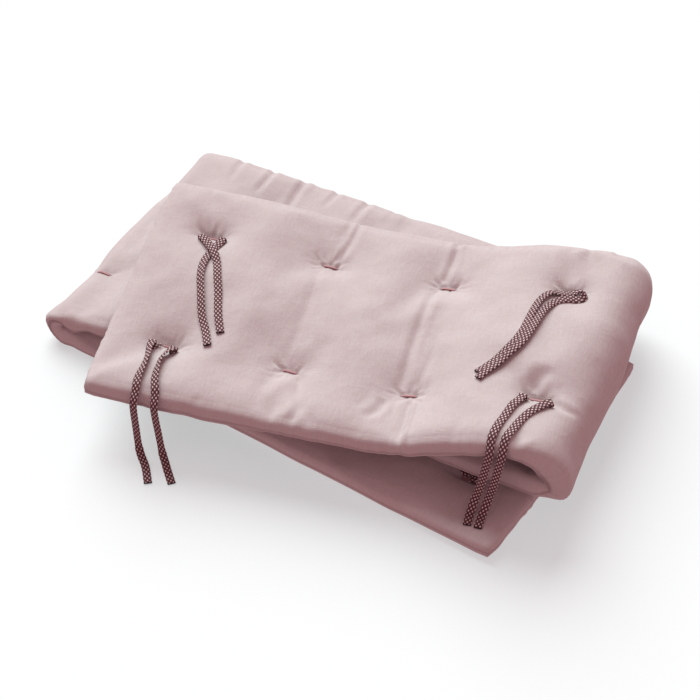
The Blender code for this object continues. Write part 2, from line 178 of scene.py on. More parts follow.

# the bar tacks, and the painted shade on the cloth's edge round each
BAR_LENGTH = 0.0160
BAR_WIDTH = 0.0036
BAR_SHADE_REACH = 0.0017
BAR_SHADE_EDGE = 1.9
# the painted shade in the hollow behind each bar: reach along, reach across, how far back, strength
DIMPLE_LONG = 0.0095
DIMPLE_DEEP = 0.0075
DIMPLE_BACK = 0.0045
DIMPLE_SHADE = 0.74

# ---------------------------------------------------------------- the ties
# a tape's width, its thickness where it shows and where it is hidden, and its gap over the cloth
TAPE_WIDTH = 0.0085
FULL_THICK = 0.0019
THIN_TAPE = 0.0015
TAPE_GAP = 0.0003

# ---------------------------------------------------------------- the camera
SENSOR = 36.0
LENS = 105.7
CAMERA_AZIMUTH = math.radians(26.15)
CAMERA_ELEVATION = math.radians(46.89)
CAMERA_DISTANCE = 2.2
CAMERA_TARGET = Vector((-0.0006, 0.0233, 0.0))

# ---------------------------------------------------------------- the light and the floor
# the key light's direction: away from the camera, to the right, up
KEY_WAY = (0.86, -0.22, 0.78)
KEY_ENERGY = 3.3
KEY_SPREAD = math.radians(48.0)
KEY_COLOUR = (0.88, 1.0, 0.985)
LIGHT_FAR = 3.0
# the warm light from all round
FILL_COLOUR = (1.0, 0.58, 0.62, 1.0)
FILL_STRENGTH = 0.47
# the floor shines a little, so that it stays white under the warm fill
FLOOR_REACH = 40.0
FLOOR_COLOUR = (0.55, 0.55, 0.55, 1.0)
FLOOR_SHINE = (0.84, 0.98, 0.98, 1.0)
FLOOR_SHINE_STRENGTH = 0.46
FLOOR_ROUGHNESS = 0.8


def smooth(x):
    """A soft step from 0 to 1."""
    x = np.clip(x, 0.0, 1.0)
    return x * x * (3.0 - 2.0 * x)


def bump(x):
    """A soft hump, 1 at 0 and nearly 0 past 2."""
    return np.exp(-np.square(x))


def hump_at(s, place):
    """A soft hump along the strip, by its middle and its reach."""
    return bump((s - place[0]) / place[1])


def past(value, step):
    """0 before a step's start and 1 past its end."""
    return smooth((value - step[0]) / step[1])


def before(value, step):
    """0 past a step's start and 1 well before it."""
    return smooth((step[0] - value) / step[1])


def add_object(name, data):
    """A new object in the scene."""
    made = bpy.data.objects.new(name, data)
    bpy.context.scene.collection.objects.link(made)
    return made


def add_piece(name, mesh, material):
    """A new smooth object of one material."""
    mesh.materials.append(material)
    mesh.shade_smooth()
    return add_object(name, mesh)


def add_values(mesh, name, kind, values):
    """Values stored at a mesh's points, for its material to read."""
    layer = mesh.attributes.new(name, kind, "POINT")
    field = "vector" if kind == "FLOAT_VECTOR" else "value"
    layer.data.foreach_set(field, values.astype(np.float32).ravel())


# ---------------------------------------------------------------- camera, light and floor
def view_axes():
    """The camera's right and its away direction over the floor."""
    right = Vector((math.cos(CAMERA_AZIMUTH), math.sin(CAMERA_AZIMUTH), 0.0))
    away = Vector((-math.sin(CAMERA_AZIMUTH), math.cos(CAMERA_AZIMUTH), 0.0))
    return right, away


def make_camera():
    """The camera at the photograph's angle."""
    _, away = view_axes()
    back = away * -math.cos(CAMERA_ELEVATION) + Vector((0.0, 0.0, math.sin(CAMERA_ELEVATION)))
    data = bpy.data.cameras.new("camera")
    data.lens = LENS
    data.sensor_width = SENSOR
    camera = add_object("camera", data)
    camera.location = CAMERA_TARGET + back * CAMERA_DISTANCE
    camera.rotation_euler = (math.pi / 2 - CAMERA_ELEVATION, 0.0, CAMERA_AZIMUTH)
    bpy.context.scene.camera = camera


def make_key_light():
    """An even soft light from the upper left and the back."""
    right, away = view_axes()
    up = Vector((0.0, 0.0, 1.0))
    direction = (away * KEY_WAY[0] + right * KEY_WAY[1] + up * KEY_WAY[2]).normalized()
    data = bpy.data.lights.new("key", "SUN")
    data.angle = KEY_SPREAD
    data.energy = KEY_ENERGY
    data.color = KEY_COLOUR
    light = add_object("key", data)
    light.location = direction * LIGHT_FAR
    light.rotation_euler = (-direction).to_track_quat("-Z", "Y").to_euler()


def make_fill():
    """A warm low light from all round."""
    world = bpy.data.worlds.new("studio")
    bpy.context.scene.world = world
    world.use_nodes = True
    shade = world.node_tree.nodes["Background"]
    shade.inputs["Color"].default_value = FILL_COLOUR
    shade.inputs["Strength"].default_value = FILL_STRENGTH
    bpy.context.scene.view_settings.view_transform = "Standard"


def make_floor():
    """A plain pale floor, which doesn't light the piece from below."""
    mesh = bpy.data.meshes.new("floor")
    near, far = -FLOOR_REACH, FLOOR_REACH
    corners = [(near, near, 0.0), (far, near, 0.0), (far, far, 0.0), (near, far, 0.0)]
    mesh.from_pydata(corners, [], [(0, 1, 2, 3)])
    material = bpy.data.materials.new("floor_paint")
    material.use_nodes = True
    shader = material.node_tree.nodes["Principled BSDF"]
    shader.inputs["Base Color"].default_value = FLOOR_COLOUR
    shader.inputs["Roughness"].default_value = FLOOR_ROUGHNESS
    shader.inputs["Emission Color"].default_value = FLOOR_SHINE
    shader.inputs["Emission Strength"].default_value = FLOOR_SHINE_STRENGTH
    mesh.materials.append(material)
    floor = add_object("floor", mesh)
    floor.visible_diffuse = False


# ---------------------------------------------------------------- the folded middle surface
def fold_path(bends):
    """The strip's path across a fold: distance along it, then how far out and how far up."""
    along = np.linspace(-PATH_REACH, PATH_REACH, PATH_POINTS)
    turn = np.zeros(len(along))
    for begin, end, degrees in bends:
        turn += math.radians(degrees) * smooth((along - begin) / (end - begin))
    step = along[1] - along[0]
    out = np.concatenate(([0.0], np.cumsum(np.cos((turn[1:] + turn[:-1]) / 2)) * step))
    up = np.concatenate(([0.0], np.cumsum(np.sin((turn[1:] + turn[:-1]) / 2)) * step))
    return along, out, up


def make_right_fold():
    """The path over the right fold, ending level in the middle layer."""
    along, out, up = fold_path(RIGHT_BENDS)
    return along, out - out[-1] - along[-1], up - up[-1] + MIDDLE_HEIGHT


def make_left_fold():
    """The path down the left fold, from the middle layer to the bottom one."""
    along, out, up = fold_path(LEFT_BENDS)
    drop = up[-1] - up[0]
    height = MIDDLE_HEIGHT - up * (MIDDLE_HEIGHT - BOTTOM_HEIGHT) / drop
    return along, out - out[0] + along[0], height


RIGHT_PATH = make_right_fold()
LEFT_PATH = make_left_fold()


def lay(s, t, fold_at, skew, path, out_way, shift):
    """Places of the strip laid over one fold."""
    cos, sin = math.cos(skew), math.sin(skew)
    along = (s - fold_at) * cos - t * sin
    crease = (s - fold_at) * sin + t * cos
    out = out_way * np.interp(along, path[0], path[1])
    height = np.interp(along, path[0], path[2])
    x = out * cos - crease * sin - shift - FOLDED_MIDDLE[0]
    y = out * sin + crease * cos - FOLDED_MIDDLE[1]
    return np.stack((x, y, height), axis=-1)


def middle(s, t):
    """The places of the strip's middle surface, for arrays of s along and t across."""
    s, t = np.broadcast_arrays(np.asarray(s, float), np.asarray(t, float))
    right = lay(s, t, RIGHT_FOLD_AT, RIGHT_FOLD_SKEW, RIGHT_PATH, 1.0, 0.0)
    left = lay(s, t, LEFT_FOLD_AT, LEFT_FOLD_SKEW, LEFT_PATH, -1.0, LEFT_FOLD_AT - RIGHT_FOLD_AT)
    place = np.where((s < FOLDS_PART_AT)[..., None], right, left)
    for at_s, at_t, reach_s, reach_t, lift in TOP_LIFTS:
        place[..., 2] += lift * bump((s - at_s) / reach_s) * bump((t - at_t) / reach_t)
    return place


def upper_normal(s, t):
    """The unit normals of the strip's upper face."""
    along = middle(s + SURFACE_STEP, t) - middle(s - SURFACE_STEP, t)
    across = middle(s, t + SURFACE_STEP) - middle(s, t - SURFACE_STEP)
    normal = np.cross(along, across)
    return normal / np.linalg.norm(normal, axis=-1, keepdims=True)


# ---------------------------------------------------------------- the cover, flat
def tacks():
    """The sewn tacks: column, row, place along, place across."""
    for column in range(TACK_COLUMNS):
        for row in (-1, 1):
            shift = TACK_SHIFT.get((column, row), (0.0, 0.0))
            at_s = END_MARGIN + column * TACK_PITCH + shift[0]
            yield column, row, at_s, row * TACK_ROW + shift[1]


def from_bar(s, t, at_s, at_t):
    """How far a point is from a bar tack, which lies along the strip."""
    return np.hypot(np.maximum(np.abs(s - at_s) - BAR_LENGTH / 2, 0.0), t - at_t)


def cover_form(s, t):
    """Half the cover's thickness where the filling lies even and the tacks hold it down."""
    edge = np.minimum(np.minimum(s, STRIP_LENGTH - s), STRIP_WIDTH / 2 - np.abs(t))
    crowned = smooth(edge / CROWN_REACH)
    half = EDGE_HALF + (COVER_CROWN - EDGE_HALF) * crowned
    column = (s - END_MARGIN) / TACK_PITCH
    from_column = np.abs(column - np.round(column)) * TACK_PITCH
    half *= 1.0 - COVER_VALLEY * bump(from_column / VALLEY_REACH) * crowned
    for _, _, at_s, at_t in tacks():
        off = from_bar(s, t, at_s, at_t)
        half *= 1.0 - TACK_DEPTH * np.exp(-((off / TACK_REACH) ** TACK_SHARPNESS))
    return half * (1.0 - np.exp(-edge / EDGE_ROUND))


def grid_faces(grid):
    """The four-cornered faces of a grid of vertex numbers."""
    corners = (grid[:-1, :-1], grid[1:, :-1], grid[1:, 1:], grid[:-1, 1:])
    return np.stack(corners, axis=-1).reshape(-1, 4)


def make_mesh(name, places, faces):
    """A mesh of places and faces."""
    mesh = bpy.data.meshes.new(name)
    mesh.from_pydata(places.tolist(), [], faces.tolist())
    mesh.update()
    return mesh


def flat_cover():
    """The cover laid flat: its places, the grids of its two faces, and where it is held down."""
    s = np.linspace(0.0, STRIP_LENGTH, round(STRIP_LENGTH / COVER_STEP) + 1)
    t = np.linspace(-STRIP_WIDTH / 2, STRIP_WIDTH / 2, round(STRIP_WIDTH / COVER_STEP) + 1)
    s, t = np.meshgrid(s, t, indexing="ij")
    height = cover_form(s, t)
    held = np.zeros(s.shape, bool)
    for _, _, at_s, at_t in tacks():
        held |= from_bar(s, t, at_s, at_t) < HELD_REACH
    height[held] = TACK_HALF
    upper = np.arange(s.size).reshape(s.shape)
    inner = np.zeros(s.shape, bool)
    inner[1:-1, 1:-1] = True
    lower = upper.copy()
    lower[inner] = s.size + np.arange(inner.sum())
    flat = np.stack((s, t, height), axis=-1)
    under = flat * (1.0, 1.0, -1.0)
    return np.concatenate((flat.reshape(-1, 3), under[inner])), upper, lower, held


def add_cloth(cover, held):
    """Cloth with a pressure inside it, held loosely everywhere and firmly at the tacks."""
    hold = cover.vertex_groups.new(name="held")
    hold.add(list(range(len(cover.data.vertices))), COVER_HOLD, "REPLACE")
    hold.add(held.tolist(), 1.0, "REPLACE")
    cloth = cover.modifiers.new("cloth", "CLOTH")
    settings = cloth.settings
    settings.quality = COVER_QUALITY
    settings.bending_stiffness = COVER_BENDING
    settings.shrink_min = -COVER_OVERSIZE
    settings.vertex_group_mass = "held"
    settings.use_pressure = True
    settings.uniform_pressure_force = COVER_PRESSURE
    settings.effector_weights.gravity = 0.0
    cloth.collision_settings.use_collision = False
    cloth.point_cache.frame_end = COVER_FRAMES


def inflate_cover():
    """The cover as its filling holds it: places s, t and height, for the upper and the lower face.

    Both faces are sewn together along the rim.  The cloth is cut a little larger than the
    filling, so that it puckers at the seam and at the tacks.
    """
    places, upper, lower, held = flat_cover()
    faces = np.concatenate((grid_faces(upper), grid_faces(lower)[:, ::-1]))
    cover = add_object("cover", make_mesh("cover", places, faces))
    add_cloth(cover, np.concatenate((upper[held], lower[held])))
    for number in range(1, COVER_FRAMES + 1):
        bpy.context.scene.frame_set(number)
    blown = cover.evaluated_get(bpy.context.evaluated_depsgraph_get()).to_mesh()
    found = np.empty(3 * len(places))
    blown.vertices.foreach_get("co", found)
    moved = found.reshape(-1, 3) - places
    far = np.linalg.norm(moved, axis=1, keepdims=True)
    moved *= COVER_CAP * np.tanh(far / COVER_CAP) / np.maximum(far, 1e-9)
    places += moved
    bpy.context.scene.frame_set(1)
    bpy.data.objects.remove(cover, do_unlink=True)
    return np.stack((places[upper], places[lower]))


# ---------------------------------------------------------------- the fine grid
SPACING_LOOKS = 8001
# the fine grid's step along the strip, by stretch: from, to, step; a later row wins
GRID_STEPS = (
    (0.00, 0.60, 0.0034),
    (0.60, 1.16, 0.0056),
    (1.16, STRIP_LENGTH, 0.0080),
    (0.87, 1.07, 0.0034),
    (LEFT_FOLD_AT - 0.050, LEFT_FOLD_AT + 0.050, 0.0034),
)
# closer lines at the top layer's tacks: how far off the middle, how far each way, the step
TACK_LINES = (0.003, 0.018, 0.0016)
TOP_COLUMNS = 4
# the grid's step across the strip: in the middle, by the rim with its reach, by the tacks
STEP_ACROSS = 0.0040
RIM_LINES = (0.018, 0.0022)
ROW_LINES = (0.010, 0.013, 0.0014)


def spread_lines(low, high, spacing):
    """Places from low to high, as far apart as spacing says there."""
    fine = np.linspace(low, high, SPACING_LOOKS)
    run = np.concatenate(([0.0], np.cumsum(1.0 / spacing((fine[1:] + fine[:-1]) / 2))))
    run *= fine[1] - fine[0]
    return np.interp(np.linspace(0.0, run[-1], round(run[-1]) + 1), run, fine)


def spacing_along(s):
    """The fine grid's step along the strip: closest at the top tacks and in the folds."""
    step = np.zeros(s.shape)
    for low, high, size in GRID_STEPS:
        step = np.where((s >= low) & (s < high), size, step)
    column = np.round((s - END_MARGIN) / TACK_PITCH)
    off, reach, size = TACK_LINES
    near = np.abs(s - END_MARGIN - column * TACK_PITCH + off) < reach
    return np.where(near & (column < TOP_COLUMNS), size, step)


def spacing_across(t):
    """The fine grid's step across the strip: closest at the tacks and the rim."""
    reach, size = RIM_LINES
    step = np.where(STRIP_WIDTH / 2 - np.abs(t) < reach, size, STEP_ACROSS)
    inner, outer, size = ROW_LINES
    near = (np.abs(t) > TACK_ROW - inner) & (np.abs(t) < TACK_ROW + outer)
    return np.where(near, size, step)


def curve_weights(at, count):
    """Weights that read a smooth curve through count even values at fractional places."""
    cell = np.clip(at.astype(int), 0, count - 2)
    x = at - cell
    parts = (
        -0.5 * x + x ** 2 - 0.5 * x ** 3,
        1.0 - 2.5 * x ** 2 + 1.5 * x ** 3,
        0.5 * x + 2.0 * x ** 2 - 1.5 * x ** 3,
        -0.5 * x ** 2 + 0.5 * x ** 3,
    )
    weights = np.zeros((len(at), count))
    rows = np.arange(len(at))
    for step, part in enumerate(parts):
        np.add.at(weights, (rows, np.clip(cell + step - 1, 0, count - 1)), part)
    return weights


def refine(face, s_lines, t_lines):
    """A face of the cover, read on the fine grid."""
    along = curve_weights(s_lines / STRIP_LENGTH * (face.shape[0] - 1), face.shape[0])
    across = (t_lines / STRIP_WIDTH + 0.5) * (face.shape[1] - 1)
    across = curve_weights(across, face.shape[1])
    return np.einsum("ai,ijk,bj->abk", along, face, across, optimize=True)


# ---------------------------------------------------------------- creases, given one by one
# Creases of the upper face of the top layer: from (along, across), to, sideways bow, width,
# depth (a ridge is below 0), how strong at the start and at the end.
TOP_CREASES = (
    # beside the second column of tacks
    (0.2107, 0.1458, 0.2010, 0.0860, 0.002, 0.0032, 0.0013, 1.0, 1.0),
    (0.1855, 0.0700, 0.1880, -0.0600, 0.003, 0.0040, 0.0005, 1.0, 0.7),
    (0.2200, -0.1180, 0.2165, -0.1420, 0.002, 0.0045, 0.0016, 0.6, 1.0),
    (0.2073, -0.0792, 0.2378, -0.1450, -0.006, 0.0060, 0.0018, 1.0, 0.5),
    (0.1830, -0.0830, 0.1760, -0.1400, -0.003, 0.0070, 0.0011, 1.0, 0.4),
    # beside the third column
    (0.3197, 0.1479, 0.3175, 0.0880, 0.002, 0.0038, 0.0018, 0.9, 1.1),
    (0.3130, 0.0760, 0.3115, -0.0724, -0.002, 0.0045, 0.0013, 1.1, 1.0),
    (0.3330, 0.0150, 0.3270, -0.0690, 0.004, 0.0040, 0.0009, 0.5, 1.0),
    (0.3290, -0.0850, 0.3347, -0.1540, 0.001, 0.0026, -0.0015, 1.0, 1.0),
    (0.3240, -0.0850, 0.3290, -0.1480, 0.001, 0.0045, 0.0012, 1.0, 0.6),
    (0.2985, -0.0900, 0.2870, -0.1200, 0.004, 0.0045, 0.0022, 1.0, 0.6),
    (0.3828, -0.0875, 0.3900, -0.1500, 0.002, 0.0060, 0.0012, 0.4, 1.0),
    # beside the fourth column
    (0.4620, -0.0744, 0.4900, -0.0850, -0.003, 0.0045, 0.0024, 1.0, 0.4),
    (0.4460, -0.0660, 0.4590, -0.0420, 0.003, 0.0065, 0.0032, 1.0, 0.5),
    (0.4560, 0.0960, 0.4440, 0.1430, 0.003, 0.0065, 0.0014, 1.0, 0.5),
    # puckers along the front seam
    (0.2237, -0.1536, 0.2229, -0.1300, 0.001, 0.0030, -0.0015, 1.0, 0.4),
    (0.3914, -0.1600, 0.3927, -0.1300, 0.001, 0.0030, -0.0015, 1.0, 0.4),
    (0.4528, -0.1600, 0.4560, -0.1380, 0.001, 0.0035, -0.0017, 1.0, 0.4),
    (0.1180, -0.1560, 0.1200, -0.1360, 0.001, 0.0030, 0.0010, 1.0, 0.4),
    # the facets of the fold
    (0.5000, 0.1400, 0.4930, -0.1200, 0.006, 0.0180, -0.0018, 0.8, 1.0),
    (0.4917, 0.1432, 0.5062, 0.1350, 0.001, 0.0050, 0.0018, 1.0, 0.6),
)
# Creases of the middle layer's face that shows: the same columns.
MIDDLE_CREASES = (
    (1.0490, 0.1560, 1.0450, 0.1080, 0.002, 0.0034, 0.0027, 1.0, 0.4),
    (1.0125, 0.1560, 1.0120, 0.1040, -0.002, 0.0032, 0.0034, 1.0, 0.5),
    (0.9700, 0.1560, 0.9690, 0.0950, 0.002, 0.0038, 0.0029, 1.0, 0.8),
    (0.9280, 0.1560, 0.9320, 0.1180, 0.001, 0.0031, 0.0031, 1.0, 0.4),
    (0.8900, 0.1560, 0.8930, 0.1080, 0.002, 0.0034, 0.0031, 1.0, 0.5),
    (0.8620, 0.1560, 0.8600, 0.1200, -0.001, 0.0029, 0.0020, 1.0, 0.4),
    (1.0560, -0.1560, 1.0520, -0.1250, 0.001, 0.0031, 0.0020, 1.0, 0.4),
)
CREASE_SHARE = (1.35, 1.0)
# where a crease fades at its ends, as shares of its length off its middle: from, reach
CREASE_FADE = (0.40, 0.08)
# the low ridges on both sides of a crease: share of its depth, how many widths off
CREASE_LIP = (0.35, 2.0)
# pleats that spread from each tack: how many, length, width and depth, each from and to
PLEATS = 19
PLEAT_LONG = (0.009, 0.024)
PLEAT_WIDE = (0.0013, 0.0024)
PLEAT_DEEP = (0.0004, 0.0012)
# how far a pleat is off its even place, how far it leans, its bow, where it starts at the bar,
# how strong it still is at its end, and how far from a tack pleats are looked for
PLEAT_TURN = (-0.4, 0.4)
PLEAT_LEAN = (-0.2, 0.2)
PLEAT_BOW = (-0.0015, 0.0015)
PLEAT_START = (BAR_LENGTH * 0.42, 0.0015)
PLEAT_END = 0.2
PLEATS_REACH = 0.045
# pinches at the two ends of each bar, towards the back: from, to, width, depth
PINCHES = (
    (-0.0070, 0.0010, -0.0200, 0.0120, 0.0017, 0.0022),
    (0.0075, 0.0010, 0.0130, 0.0110, 0.0017, 0.0016),
)
PINCH_LONG = (0.8, 1.2)
PINCH_BOW = 0.001
PINCH_END = 0.3
# the dip at a tack on the face that shows and on the one that doesn't: height left, reach
SHOWN_DIP = (-0.0025, 0.0090)
HIDDEN_DIP = (0.0045, 0.0160)
DIP_SHARPNESS = 1.1
DIP_AREA = 0.08
# how much less deep the tacks without ties are
BARE_RISE = 0.0055
# soft unevenness of the filling: size of its humps, height
HUMPS = ((0.070, 0.0007), (0.034, 0.0005), (0.017, 0.00028))


def crease_depth(s, t, creases):
    """How deep the creases lie at each place of a face."""
    depth = np.zeros(s.shape)
    for s0, t0, s1, t1, bow, width, deep, at_start, at_end in creases:
        long = math.hypot(s1 - s0, t1 - t0)
        ahead = ((s1 - s0) / long, (t1 - t0) / long)
        u = ((s - s0) * ahead[0] + (t - t0) * ahead[1]) / long
        aside = (t - t0) * ahead[0] - (s - s0) * ahead[1]
        inside = np.clip(u, 0.0, 1.0)
        aside = aside - bow * 4.0 * inside * (1.0 - inside)
        strong = at_start + (at_end - at_start) * inside
        strong = strong * bump(np.maximum(np.abs(u - 0.5) - CREASE_FADE[0], 0.0) / CREASE_FADE[1])
        lip = CREASE_LIP[0] * bump((np.abs(aside) - CREASE_LIP[1] * width) / width)
        depth += deep * strong * (bump(aside / width) - lip)
    return depth


def creases_at(at_s, at_t, rng):
    """The small creases of one tack: the pleats round it and the pinches at its bar's ends."""
    for number in range(PLEATS):
        turn = 2 * math.pi * (number + rng.uniform(*PLEAT_TURN)) / PLEATS
        long, wide, deep = (rng.uniform(*pair) for pair in (PLEAT_LONG, PLEAT_WIDE, PLEAT_DEEP))
        from_s = at_s + PLEAT_START[0] * math.cos(turn)
        from_t = at_t + PLEAT_START[1] * math.sin(turn)
        lean = turn + rng.uniform(*PLEAT_LEAN)
        to_s, to_t = from_s + long * math.cos(lean), from_t + long * math.sin(lean)
        yield from_s, from_t, to_s, to_t, rng.uniform(*PLEAT_BOW), wide, deep, 1.0, PLEAT_END
    for from_s, from_t, to_s, to_t, wide, deep in PINCHES:
        far = rng.uniform(*PINCH_LONG)
        ends = (at_s + from_s, at_t + from_t, at_s + to_s * far, at_t + to_t * far)
        yield *ends, PINCH_BOW, wide, deep, 1.0, PINCH_END


def tack_pleats(s, t, seed):
    """The depth of the small creases round the tacks, uneven from tack to tack."""
    depth = np.zeros(s.shape)
    rng = np.random.default_rng(seed)
    for _, _, at_s, at_t in tacks():
        near = np.hypot(s - at_s, t - at_t) < PLEATS_REACH
        depth[near] += crease_depth(s[near], t[near], creases_at(at_s, at_t, rng))
    return depth


def dipped(half, s, t, shown):
    """The half thickness, with the cloth drawn down to each tack."""
    for column, _, at_s, at_t in tacks():
        near = np.hypot(s - at_s, t - at_t) < DIP_AREA
        off = from_bar(s[near], t[near], at_s, at_t)
        share = shown[near]
        left, reach = (a * share + b * (1.0 - share) for a, b in zip(SHOWN_DIP, HIDDEN_DIP))
        left = left + BARE_RISE * share * (column not in TIE_COLUMNS)
        half[near] = left + (half[near] - left) * (1.0 - np.exp(-((off / reach) ** DIP_SHARPNESS)))
    return half


def humps(s, t, seed):
    """Soft random humps and hollows of the filling."""
    rng = np.random.default_rng(seed)
    height = np.zeros(s.shape)
    for size, high in HUMPS:
        rows = round(STRIP_LENGTH / size) + 2
        columns = round(STRIP_WIDTH / size) + 2
        values = rng.normal(size=(rows, columns))
        along = curve_weights(s[:, 0] / size, rows)
        across = curve_weights((t[0] + STRIP_WIDTH / 2) / size, columns)
        height += high * (along @ values @ across.T)
    return height


# ---------------------------------------------------------------- the pad
# the two faces, upper and lower: number, which way it stands off the middle surface
FACES = ((0, 1.0), (1, -1.0))
HUMPS_SEED = 21
PLEATS_SEED = 7
# measuring from layer to layer: where a ray starts, how far it goes; how far the measured
# sheet goes past the strip's ends, and how many points it has along and across
RAY_START = 0.003
RAY_FAR = 0.060
SHEET_BEYOND = 0.004
SHEET_COUNT = (340, 40)


def by_layer(s, face):
    """The crown of a face (0 upper, 1 lower), blended from layer to layer across the folds."""
    top, mid, low = (layer[face] for layer in CROWN)
    first = smooth((s - RIGHT_FOLD_AT) / FOLD_REACH + 0.5)
    second = smooth((s - LEFT_FOLD_AT) / FOLD_REACH)
    return top + (mid - top) * first + (low - mid) * second


def room(s, t, outward, sheet):
    """How far the strip may swell at each place before it meets half way to the next layer."""
    places = middle(s, t).reshape(-1, 3)
    ways = outward.reshape(-1, 3)
    free = np.ones(len(places))
    for i, (place, way) in enumerate(zip(places, ways)):
        hit = sheet.ray_cast(Vector(place + way * RAY_START), Vector(way), RAY_FAR)
        if hit[0] is not None:
            free[i] = (hit[3] + RAY_START - LAYER_GAP) / 2
    return free.reshape(s.shape)


# the filling that closes a fold's open ends at the front and the back: face, place along the
# strip, reach, how much thicker at the front and at the back
MOUTHS = (
    (1, 0.4920, 0.040, 0.0200, 0.0100),
    (1, 0.5650, 0.045, 0.0110, 0.0040),
    (0, 1.1205, 0.026, 0.0170, 0.0050),
    (0, 1.1010, 0.013, 0.0140, 0.0000),
    (0, 1.1950, 0.034, -0.0060, 0.0000),
)
MOUTH_DEEP = 0.035
# where the layer above takes more than half of the gap at a fold's front end: face, place of its
# larger side, of its smaller side, reach, share
MOUTH_SHARES = (
    (1, 0.5020, 0.5710, 0.022, 0.55),
    (0, 1.1010, 1.1400, 0.013, 0.60),
)


def at_front(t):
    """1 at the strip's front edge, and 0 past the depth of the folds' closed ends."""
    return smooth(1.0 - (STRIP_WIDTH / 2 + t) / MOUTH_DEEP)


def mouth_filling(s, t, face):
    """How much further the inner face of a fold stands out at the fold's two ends."""
    more = np.zeros(s.shape)
    for inner, at, reach, front, back in MOUTHS:
        if inner == face:
            more += hump_at(s, (at, reach)) * (front * at_front(t) + back * at_front(-t))
    return more


def mouth_share(s, t, face):
    """How much of half the gap a side may fill: more than 1 where the other side gives way."""
    share = np.ones(s.shape)
    for inner, larger, smaller, reach, more in MOUTH_SHARES:
        if inner == face:
            sides = hump_at(s, (larger, reach)) - hump_at(s, (smaller, reach))
            share += more * at_front(t) * sides
    return share


def middle_sheet():
    """The strip's middle surface, to measure from layer to layer."""
    s = np.linspace(-SHEET_BEYOND, STRIP_LENGTH + SHEET_BEYOND, SHEET_COUNT[0])
    t = np.linspace(-STRIP_WIDTH / 2, STRIP_WIDTH / 2, SHEET_COUNT[1])
    s, t = np.meshgrid(s, t, indexing="ij")
    grid = np.arange(s.size).reshape(s.shape)
    return BVHTree.FromPolygons(middle(s, t).reshape(-1, 3).tolist(), grid_faces(grid).tolist())


def no_more_than(value, limit):
    """The value held under a limit, with a soft turn between them."""
    return limit - LIMIT_EASE * np.logaddexp(0.0, (limit - value) / LIMIT_EASE)


def end_bulge(s, t):
    """How far the middle of each free end stands out along the strip."""
    near_start = smooth(1.0 - s / END_REACH)
    near_end = smooth(1.0 - (STRIP_LENGTH - s) / END_REACH)
    return END_BULGE * (1.0 - (2 * t / STRIP_WIDTH) ** 2) * (near_end - near_start)


def filled(blown, s, t, face):
    """Half the thickness of a blown-up face, as its layer is filled and its fold squeezed."""
    half = blown * by_layer(s, face) / COVER_CROWN
    if face == 0:
        half *= 1.0 + FRONT_FULLER * past(-t, FULLER_STEP) * before(s, FULLER_UP_TO)
        half *= 1.0 - np.interp(t, RIGHT_FLAT_AT, RIGHT_FLAT) * hump_at(s, RIGHT_FLAT_PLACE)
    fold_at = LEFT_FOLD_AT if face == 0 else RIGHT_FOLD_AT
    return half * (1.0 - FOLD_SQUEEZE * hump_at(s, (fold_at, FOLD_REACH)))


def sewn(half, s, t, face):
    """The half thickness with the filling's humps, the tacks, creases and ends of the folds."""
    folded_over = past(s, (RIGHT_FOLD_AT, FOLD_TURN)) * before(s, (LEFT_FOLD_AT, FOLD_TURN))
    half = half + humps(s, t, HUMPS_SEED + face)
    half = dipped(half, s, t, folded_over if face else 1.0 - folded_over)
    half -= tack_pleats(s, t, PLEATS_SEED + face)
    half -= CREASE_SHARE[face] * crease_depth(s, t, MIDDLE_CREASES if face else TOP_CREASES)
    return half + mouth_filling(s, t, face)


def shaped_below(half, s, t):
    """The lower face with its flat left fold, its pinched nose and its low front edge."""
    front = at_front(t)
    half = half * (1.0 - LEFT_FLAT * hump_at(s, LEFT_FLAT_PLACE) * (1.0 - LEFT_FLAT_FRONT * front))
    half -= NOSE_BACK * hump_at(s, NOSE_PLACE) * front
    return half + FRONT_DROP * past(-t, DROP_STEP) * before(s, DROP_UP_TO)


def make_pad(material):
    """The filled strip, laid along its folds."""
    cover = inflate_cover()
    s_lines = spread_lines(RIM, STRIP_LENGTH - RIM, spacing_along)
    t_lines = spread_lines(RIM - STRIP_WIDTH / 2, STRIP_WIDTH / 2 - RIM, spacing_across)
    s0, t0 = np.meshgrid(s_lines, t_lines, indexing="ij")
    sheet = middle_sheet()
    sides = []
    for face, way in FACES:
        fine = refine(cover[face], s_lines, t_lines)
        s, t = fine[..., 0] + end_bulge(s0, t0), fine[..., 1]
        half = sewn(filled(fine[..., 2] * way, s, t, face), s0, t0, face)
        if face == 1:
            half = shaped_below(half, s0, t0)
        limit = room(s, t, upper_normal(s, t) * way, sheet) * mouth_share(s0, t0, face)
        half = no_more_than(half, limit)
        if face == 1:
            half += (BOTTOM_HEIGHT - half) * past(s, (LEFT_FOLD_AT, FOLD_REACH))
            half += CORNER_FULLER * hump_at(s0, CORNER_PLACE) * at_front(t0)
        sides.append((s, t, half))
    thin = np.maximum(THINNEST - sides[0][2] - sides[1][2], 0.0)
    sides = [(s, t, half + thin / 2) for s, t, half in sides]
    return build_pad(sides, s0, t0, material)


